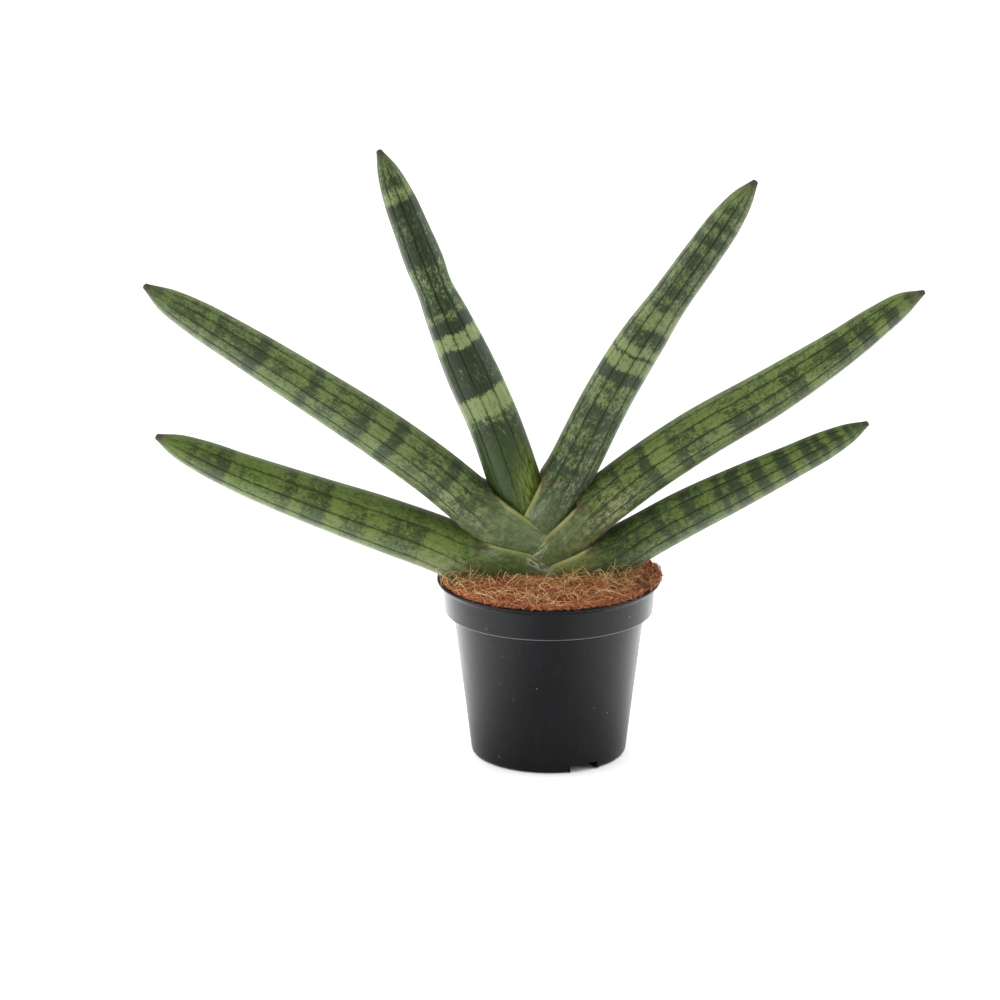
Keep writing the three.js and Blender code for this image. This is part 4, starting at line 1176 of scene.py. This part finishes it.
def strand_tree():
    """Lays one strand on each root point, bent at random and following the coir's surface."""
    tree = bpy.data.node_groups.new("strands on coir", "GeometryNodeTree")
    sockets = (("Roots", "Geometry"), ("Surface", "Object"), ("Thickness", "Float"), ("Curl", "Float"),
               ("Steps", "Int"), ("Edge height", "Float"), ("Finish", "Material"))
    for name, kind in sockets:
        tree.interface.new_socket(name, in_out="INPUT", socket_type="NodeSocket" + kind)
    tree.interface.new_socket("Strands", in_out="OUTPUT", socket_type="NodeSocketGeometry")
    nodes = Nodes(tree)
    given = tree.nodes.new("NodeGroupInput")
    inputs = {name: Wire(nodes, given.outputs[name]) for name, _ in sockets}

    def root(name):
        """What the root point of a strand says about it."""
        return nodes.add("GeometryNodeInputNamedAttribute", {"data_type": "FLOAT"}, {"Name": name})

    # a straight line a metre long, copied to each root, turned and scaled to the strand's length
    ends = {"Start": (-0.5, 0, 0), "End": (0.5, 0, 0)}
    line = nodes.add("GeometryNodeCurvePrimitiveLine", None, ends)
    line = nodes.add("GeometryNodeResampleCurve", None, {"Curve": line, "Count": inputs["Steps"]})
    heading = nodes.add("ShaderNodeCombineXYZ", None, {"Z": root("heading")})
    heading = nodes.add("FunctionNodeEulerToRotation", None, {0: heading})
    scale = nodes.add("ShaderNodeCombineXYZ", None, {"X": root("length"), "Y": 1.0, "Z": 1.0})
    strands = nodes.add("GeometryNodeInstanceOnPoints", None,
                        {"Points": inputs["Roots"], "Instance": line, "Rotation": heading, "Scale": scale})
    strands = nodes.add("GeometryNodeRealizeInstances", None, {0: strands})

    # bent by noise, dropped on the coir by a ray, and lifted by an arch or at a free end
    share = nodes.add("GeometryNodeSplineParameter", None, None, "Factor")
    place = nodes.add("GeometryNodeInputPosition")
    bend = {"Vector": place, "W": root("tone") * 91.0, "Scale": BENDS_A_METRE, "Detail": 1.0}
    bend = nodes.add("ShaderNodeTexNoise", {"noise_dimensions": "4D"}, bend, "Color")
    bend_x, bend_y, bend_z = nodes.parts(bend)
    curl = inputs["Curl"]
    x, y, _ = nodes.parts(place)
    x = x + (bend_x - 0.5) * curl
    y = y + (bend_y - 0.5) * curl
    above = nodes.add("ShaderNodeCombineXYZ", None, {"X": x, "Y": y, "Z": RAY_FROM})
    ground = nodes.add("GeometryNodeObjectInfo", None, {"Object": inputs["Surface"]}, "Geometry")
    ray = {"Target Geometry": ground, "Source Position": above, "Ray Direction": (0, 0, -1),
           "Ray Length": RAY_LENGTH}
    hit = nodes.add("GeometryNodeRaycast", None, ray, "Is Hit")
    height = nodes.parts(hit.output("Hit Position"))[2]
    height = height * hit + inputs["Edge height"] * (1 - hit)
    across = 2 * share - 1
    arch = (1 - across * across) * (1 - root("free")) + share * share * root("free")
    lift = root("rise") * arch + (bend_z - 0.5) * curl * 0.35 + root("layer")
    target = nodes.add("ShaderNodeCombineXYZ", None, {"X": x, "Y": y, "Z": height + lift})
    strands = nodes.add("GeometryNodeSetPosition", None, {"Geometry": strands, "Position": target})

    # given its thickness, thinner at both ends
    taper = 1 - 0.65 * nodes.math("POWER", across * across, 3.0)
    ring = {"Resolution": STRAND_SIDES, "Radius": 1.0}
    ring = nodes.add("GeometryNodeCurvePrimitiveCircle", None, ring)
    mesh = {"Curve": strands, "Profile Curve": ring, "Fill Caps": True,
            "Scale": inputs["Thickness"] * taper * root("girth")}
    strands = nodes.add("GeometryNodeCurveToMesh", None, mesh)
    strands = nodes.add("GeometryNodeSetShadeSmooth", None, {"Geometry": strands})
    strands = nodes.add("GeometryNodeRealizeInstances", None, {0: strands})
    finished = {"Geometry": strands, "Material": inputs["Finish"]}
    strands = nodes.add("GeometryNodeSetMaterial", None, finished)
    result = tree.nodes.new("NodeGroupOutput")
    tree.links.new(strands.socket, result.inputs[0])
    return tree


strands_on_coir = strand_tree()


def leaf_trees():
    """Each leaf's surface, to find out where a strand runs into it."""
    trees = []
    for leaf in LEAVES:
        mesh = bmesh.new()
        mesh.from_mesh(bpy.data.objects[leaf["name"] + "_skin"].data)
        trees.append(BVHTree.FromBMesh(mesh))
        mesh.free()
    return trees


leaf_surfaces = leaf_trees()
PROBE = Vector((0.31, -0.22, 0.92)).normalized()  # a slanted ray that runs along no face
DEEPEST = 4.0  # a strand that runs deeper into a leaf is taken out
STRAND_CLEARANCE = 0.15
LEAVES_HALF_DEPTH = 21.0  # no leaf reaches farther to the front or back
PASSES = 3


def step_out(point):
    """The move that takes a point out of the leaf that it is in, or None."""
    for surface in leaf_surfaces:
        crossings = 0
        start = point
        while True:
            place = surface.ray_cast(start, PROBE)[0]
            if place is None:
                break
            crossings += 1
            start = place + PROBE * 1e-6
        if crossings % 2:
            nearest = surface.find_nearest(point)[0]
            return nearest - point + (nearest - point).normalized() * STRAND_CLEARANCE * MM
    return None


def clear_of_leaves(piece, steps):
    """Takes out the strands that run deep into a leaf and bends the others aside, to lie on it."""
    rings = places_of(piece).reshape(-1, steps, STRAND_SIDES, 3)
    deep = np.zeros(len(rings), bool)
    for attempt in range(PASSES):
        centres = rings.mean(axis=2)
        near = np.abs(centres[:, :, 1]) < LEAVES_HALF_DEPTH * MM
        for strand, ring in np.argwhere(near & ~deep[:, None]):
            move = step_out(Vector(centres[strand, ring]))
            if move is None:
                continue
            if attempt == PASSES - 1 or move.length > DEEPEST * MM:
                deep[strand] = True
            else:
                rings[strand, ring] += np.array(move)
    piece.data.vertices.foreach_set("co", rings.ravel())
    mesh = bmesh.new()
    mesh.from_mesh(piece.data)
    mesh.verts.ensure_lookup_table()
    dropped = np.repeat(deep, steps * STRAND_SIDES)
    gone = [vertex for vertex in mesh.verts if dropped[vertex.index]]
    bmesh.ops.delete(mesh, geom=gone, context="VERTS")
    mesh.to_mesh(piece.data)
    mesh.free()


def lay_strands(name, roots, thickness, curl, steps, finish):
    """Makes a layer of strands from one row for each. Its lengths are in millimetres, free is 1
    where one end stands up, tone and girth are its own, and layer is how high it lies."""
    x, y, heading, length, rise, free, tone, girth, layer = np.asarray(roots, float).T
    points = np.column_stack([x, y, np.full(len(x), RIM_Z)])
    piece = solid(name, points, [], finish)
    columns = {"heading": heading, "length": length * MM, "rise": rise * MM, "free": free,
               "tone": tone, "girth": girth, "layer": layer * MM}
    for column, values in columns.items():
        stored = piece.data.attributes.new(column, "FLOAT", "POINT")
        stored.data.foreach_set("value", np.ascontiguousarray(values))
    modifier = piece.modifiers.new("strands", "NODES")
    modifier.node_group = strands_on_coir
    values = {"Surface": surface, "Thickness": thickness * MM, "Curl": curl * MM, "Steps": steps,
              "Edge height": (RIM_Z + 0.1) * MM, "Finish": finish}
    for item in strands_on_coir.interface.items_tree:
        if item.in_out == "INPUT" and item.name in values:
            modifier[item.identifier] = values[item.name]
    bake_modifiers(piece)
    clear_of_leaves(piece, steps)
    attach(piece, "root")


def between(random, low, high):
    """A random number between two others."""
    return low + (high - low) * random.random()


def along_edge(random, turn, room, length):
    """A heading that keeps a strand of this length within the room that it has at the edge."""
    swing = 2 * math.asin(min(1, 2 * room / length))
    return turn + math.pi / 2 + (random.random() - 0.5) * swing


UNDER_LEAVES = (30.0, 13.0)  # half sizes of the oval that the leaves' feet cover
EDGE_MARGIN = 1.5


def scattered(count, radius, lengths, rises, seed, free_share, layers):
    """Rows for strands scattered over the plug, with none under the leaves' feet."""
    random = np.random.default_rng(seed)
    rows = []
    while len(rows) < count:
        far = radius * math.sqrt(random.random())
        turn = random.random() * 2 * math.pi
        x, y = far * math.cos(turn), far * math.sin(turn)
        if (x / UNDER_LEAVES[0]) ** 2 + (y / UNDER_LEAVES[1]) ** 2 < 1:
            continue
        # near the edge a strand lies along the edge, so that it stays in the pot
        room = max(0.0, LIP_RADIUS - EDGE_MARGIN - far)
        length = between(random, *lengths)
        heading = random.random() * 2 * math.pi
        if room < length / 2:
            heading = along_edge(random, turn, room, length)
        rise = between(random, *rises)
        free = float(random.random() < free_share)
        layer = between(random, *layers)
        tone = random.random()
        girth = 0.6 + 0.7 * random.random()
        rows.append((x, y, heading, length, rise, free, tone, girth, layer))
    return rows


rust = fibre_finish("rust fibres", (110, 59, 35), (188, 117, 72), (228, 172, 116))
straw = fibre_finish("pale straws", (162, 124, 72), (206, 174, 116), (228, 206, 154))
low_rows = scattered(2500, 57.0, lengths=(7, 15), rises=(0.2, 1.2), seed=11, free_share=0.1,
                     layers=(-0.3, 0.5))
lay_strands("coir_fibres_low", low_rows, thickness=0.20, curl=7.0, steps=7, finish=rust)
high_rows = scattered(2600, 57.5, lengths=(6, 16), rises=(0.4, 2.6), seed=12, free_share=0.15,
                      layers=(0.2, 1.2))
lay_strands("coir_fibres_high", high_rows, thickness=0.16, curl=8.0, steps=7, finish=rust)

# fibres along the pot's edge: arcs from one direction to another, between two radii, and how many
EDGE_ARCS = ((-42, 108, 54.5, 59.0, 360), (-22, 40, 57.0, 60.2, 260), (-138, -34, 55.2, 58.6, 700))
EDGE_REACH = 60.6
edge_rows = []
random = np.random.default_rng(21)
for start, end, nearest, farthest, count in EDGE_ARCS:
    for _ in range(count):
        turn = math.radians(between(random, start, end))
        far = between(random, nearest, farthest)
        length = between(random, 4, 9)
        heading = along_edge(random, turn, max(0.0, EDGE_REACH - far), length)
        edge_rows.append((far * math.cos(turn), far * math.sin(turn), heading, length,
                          0.3 + 2.2 * random.random(), 0.0, 0.8 * random.random() ** 1.5,
                          0.6 + 0.6 * random.random(), 0.1 + 0.9 * random.random()))
lay_strands("coir_fibres_edge", edge_rows, thickness=0.16, curl=7.0, steps=8, finish=rust)

# long straws: some lie loose, others stand in tufts against the leaves, at x and y, with half
# their number of straws and their height
TUFTS = (
    (-54, -11, 4, 10), (-48, -17, 7, 18), (-42, -20, 5, 12), (-30, -24, 4, 7), (-12, -27, 5, 6),
    (8, -27, 5, 7), (16, -25, 6, 9), (26, -23, 7, 9), (32, -21, 8, 11), (38, -18, 8, 11),
    (44, -14, 7, 9), (50, 20, 6, 6), (-30, 24, 6, 9), (6, 26, 7, 8), (34, 22, 6, 9),
)
straw_rows = scattered(380, 56.0, lengths=(9, 22), rises=(0.8, 5.0), seed=13, free_share=0.3,
                       layers=(0.3, 1.6))
for x, y, count, height in TUFTS:
    for _ in range(2 * count):
        straw_rows.append((x + 8 * (random.random() - 0.5), y + 4 * (random.random() - 0.5),
                           2 * math.pi * random.random(), 9 + 11 * random.random(),
                           height * (0.3 + 0.8 * random.random()), float(random.random() < 0.6),
                           random.random(), 0.7 + 0.5 * random.random(), 0.0))
lay_strands("coir_straws", straw_rows, thickness=0.12, curl=11.0, steps=14, finish=straw)
bpy.data.objects.remove(surface)

# ================================================================ studio
# A plain pale floor, soft light from all round and a long lens a little above the plant.
floor_finish = Finish("pale floor")
floor_tint = floor_finish.noise(floor_finish.mm(), 0.002, 1.0)
floor_finish.set(Base_Color=floor_finish.blend(floor_tint, (0.92, 0.92, 0.92, 1), (0.94, 0.94, 0.94, 1)),
                 Roughness=0.9, Specular_IOR_Level=0.1)
FLOOR_HALF = 9000
floor_corners = [(x * FLOOR_HALF, y * FLOOR_HALF, 0) for x, y in ((-1, -1), (1, -1), (1, 1), (-1, 1))]
floor = solid("floor", floor_corners, [(0, 1, 2, 3)], floor_finish.material)

world = bpy.data.worlds.new("studio")
bpy.context.scene.world = world
world.use_nodes = True
sky = world.node_tree.nodes["Background"]
sky.inputs["Color"].default_value = (1.0, 1.0, 1.0, 1.0)
sky.inputs["Strength"].default_value = 0.62
LIT_POINT = Vector((0, 0, 0.15))


def soft_light(name, place, size, radiance, spread=180):
    """A rectangular soft box that faces the plant and stays out of the picture."""
    data = bpy.data.lights.new(name, "AREA")
    data.shape = "RECTANGLE"
    data.size, data.size_y = size
    data.energy = radiance * math.pi * size[0] * size[1]
    data.spread = math.radians(spread)
    light = bpy.data.objects.new(name, data)
    light.location = place
    light.rotation_euler = (LIT_POINT - Vector(place)).to_track_quat("-Z", "Y").to_euler()
    light.visible_camera = False
    bpy.context.scene.collection.objects.link(light)


def floor_light(name, place, size, radiance):
    """A low soft box that faces straight down and brightens the floor beside the pot."""
    soft_light(name, place, size, radiance, 95)
    bpy.data.objects[name].rotation_euler = (0, 0, 0)


soft_light("overhead", (0.0, 0.3, 2.4), (2.6, 2.6), 1.4)
soft_light("left wall", (-2.2, 0.0, 0.9), (2.9, 1.8), 4.4)
soft_light("right wall", (2.2, 0.2, 0.9), (2.7, 1.8), 3.8)
floor_light("left floor", (-0.34, 0.02, 0.10), (0.5, 0.7), 3.3)
floor_light("right floor", (0.34, 0.02, 0.10), (0.5, 0.7), 2.6)

# the camera stands this many metres from the point that it looks at, in the fan's plane
CAMERA_DISTANCE = 4.0
CAMERA_AIM = (-0.0262, 0.1404)
elevation = math.radians(17.1)
lens = bpy.data.cameras.new("camera")
lens.lens = 269.7
lens.sensor_width = 36
lens.sensor_fit = "HORIZONTAL"
lens.clip_start = 0.1
lens.clip_end = 60
camera = bpy.data.objects.new("camera", lens)
camera.location = (CAMERA_AIM[0], -CAMERA_DISTANCE * math.cos(elevation),
                   CAMERA_AIM[1] + CAMERA_DISTANCE * math.sin(elevation))
camera.rotation_euler = (math.pi / 2 - elevation, 0, 0)
bpy.context.scene.collection.objects.link(camera)
bpy.context.scene.camera = camera
bpy.context.scene.view_settings.view_transform = "Standard"
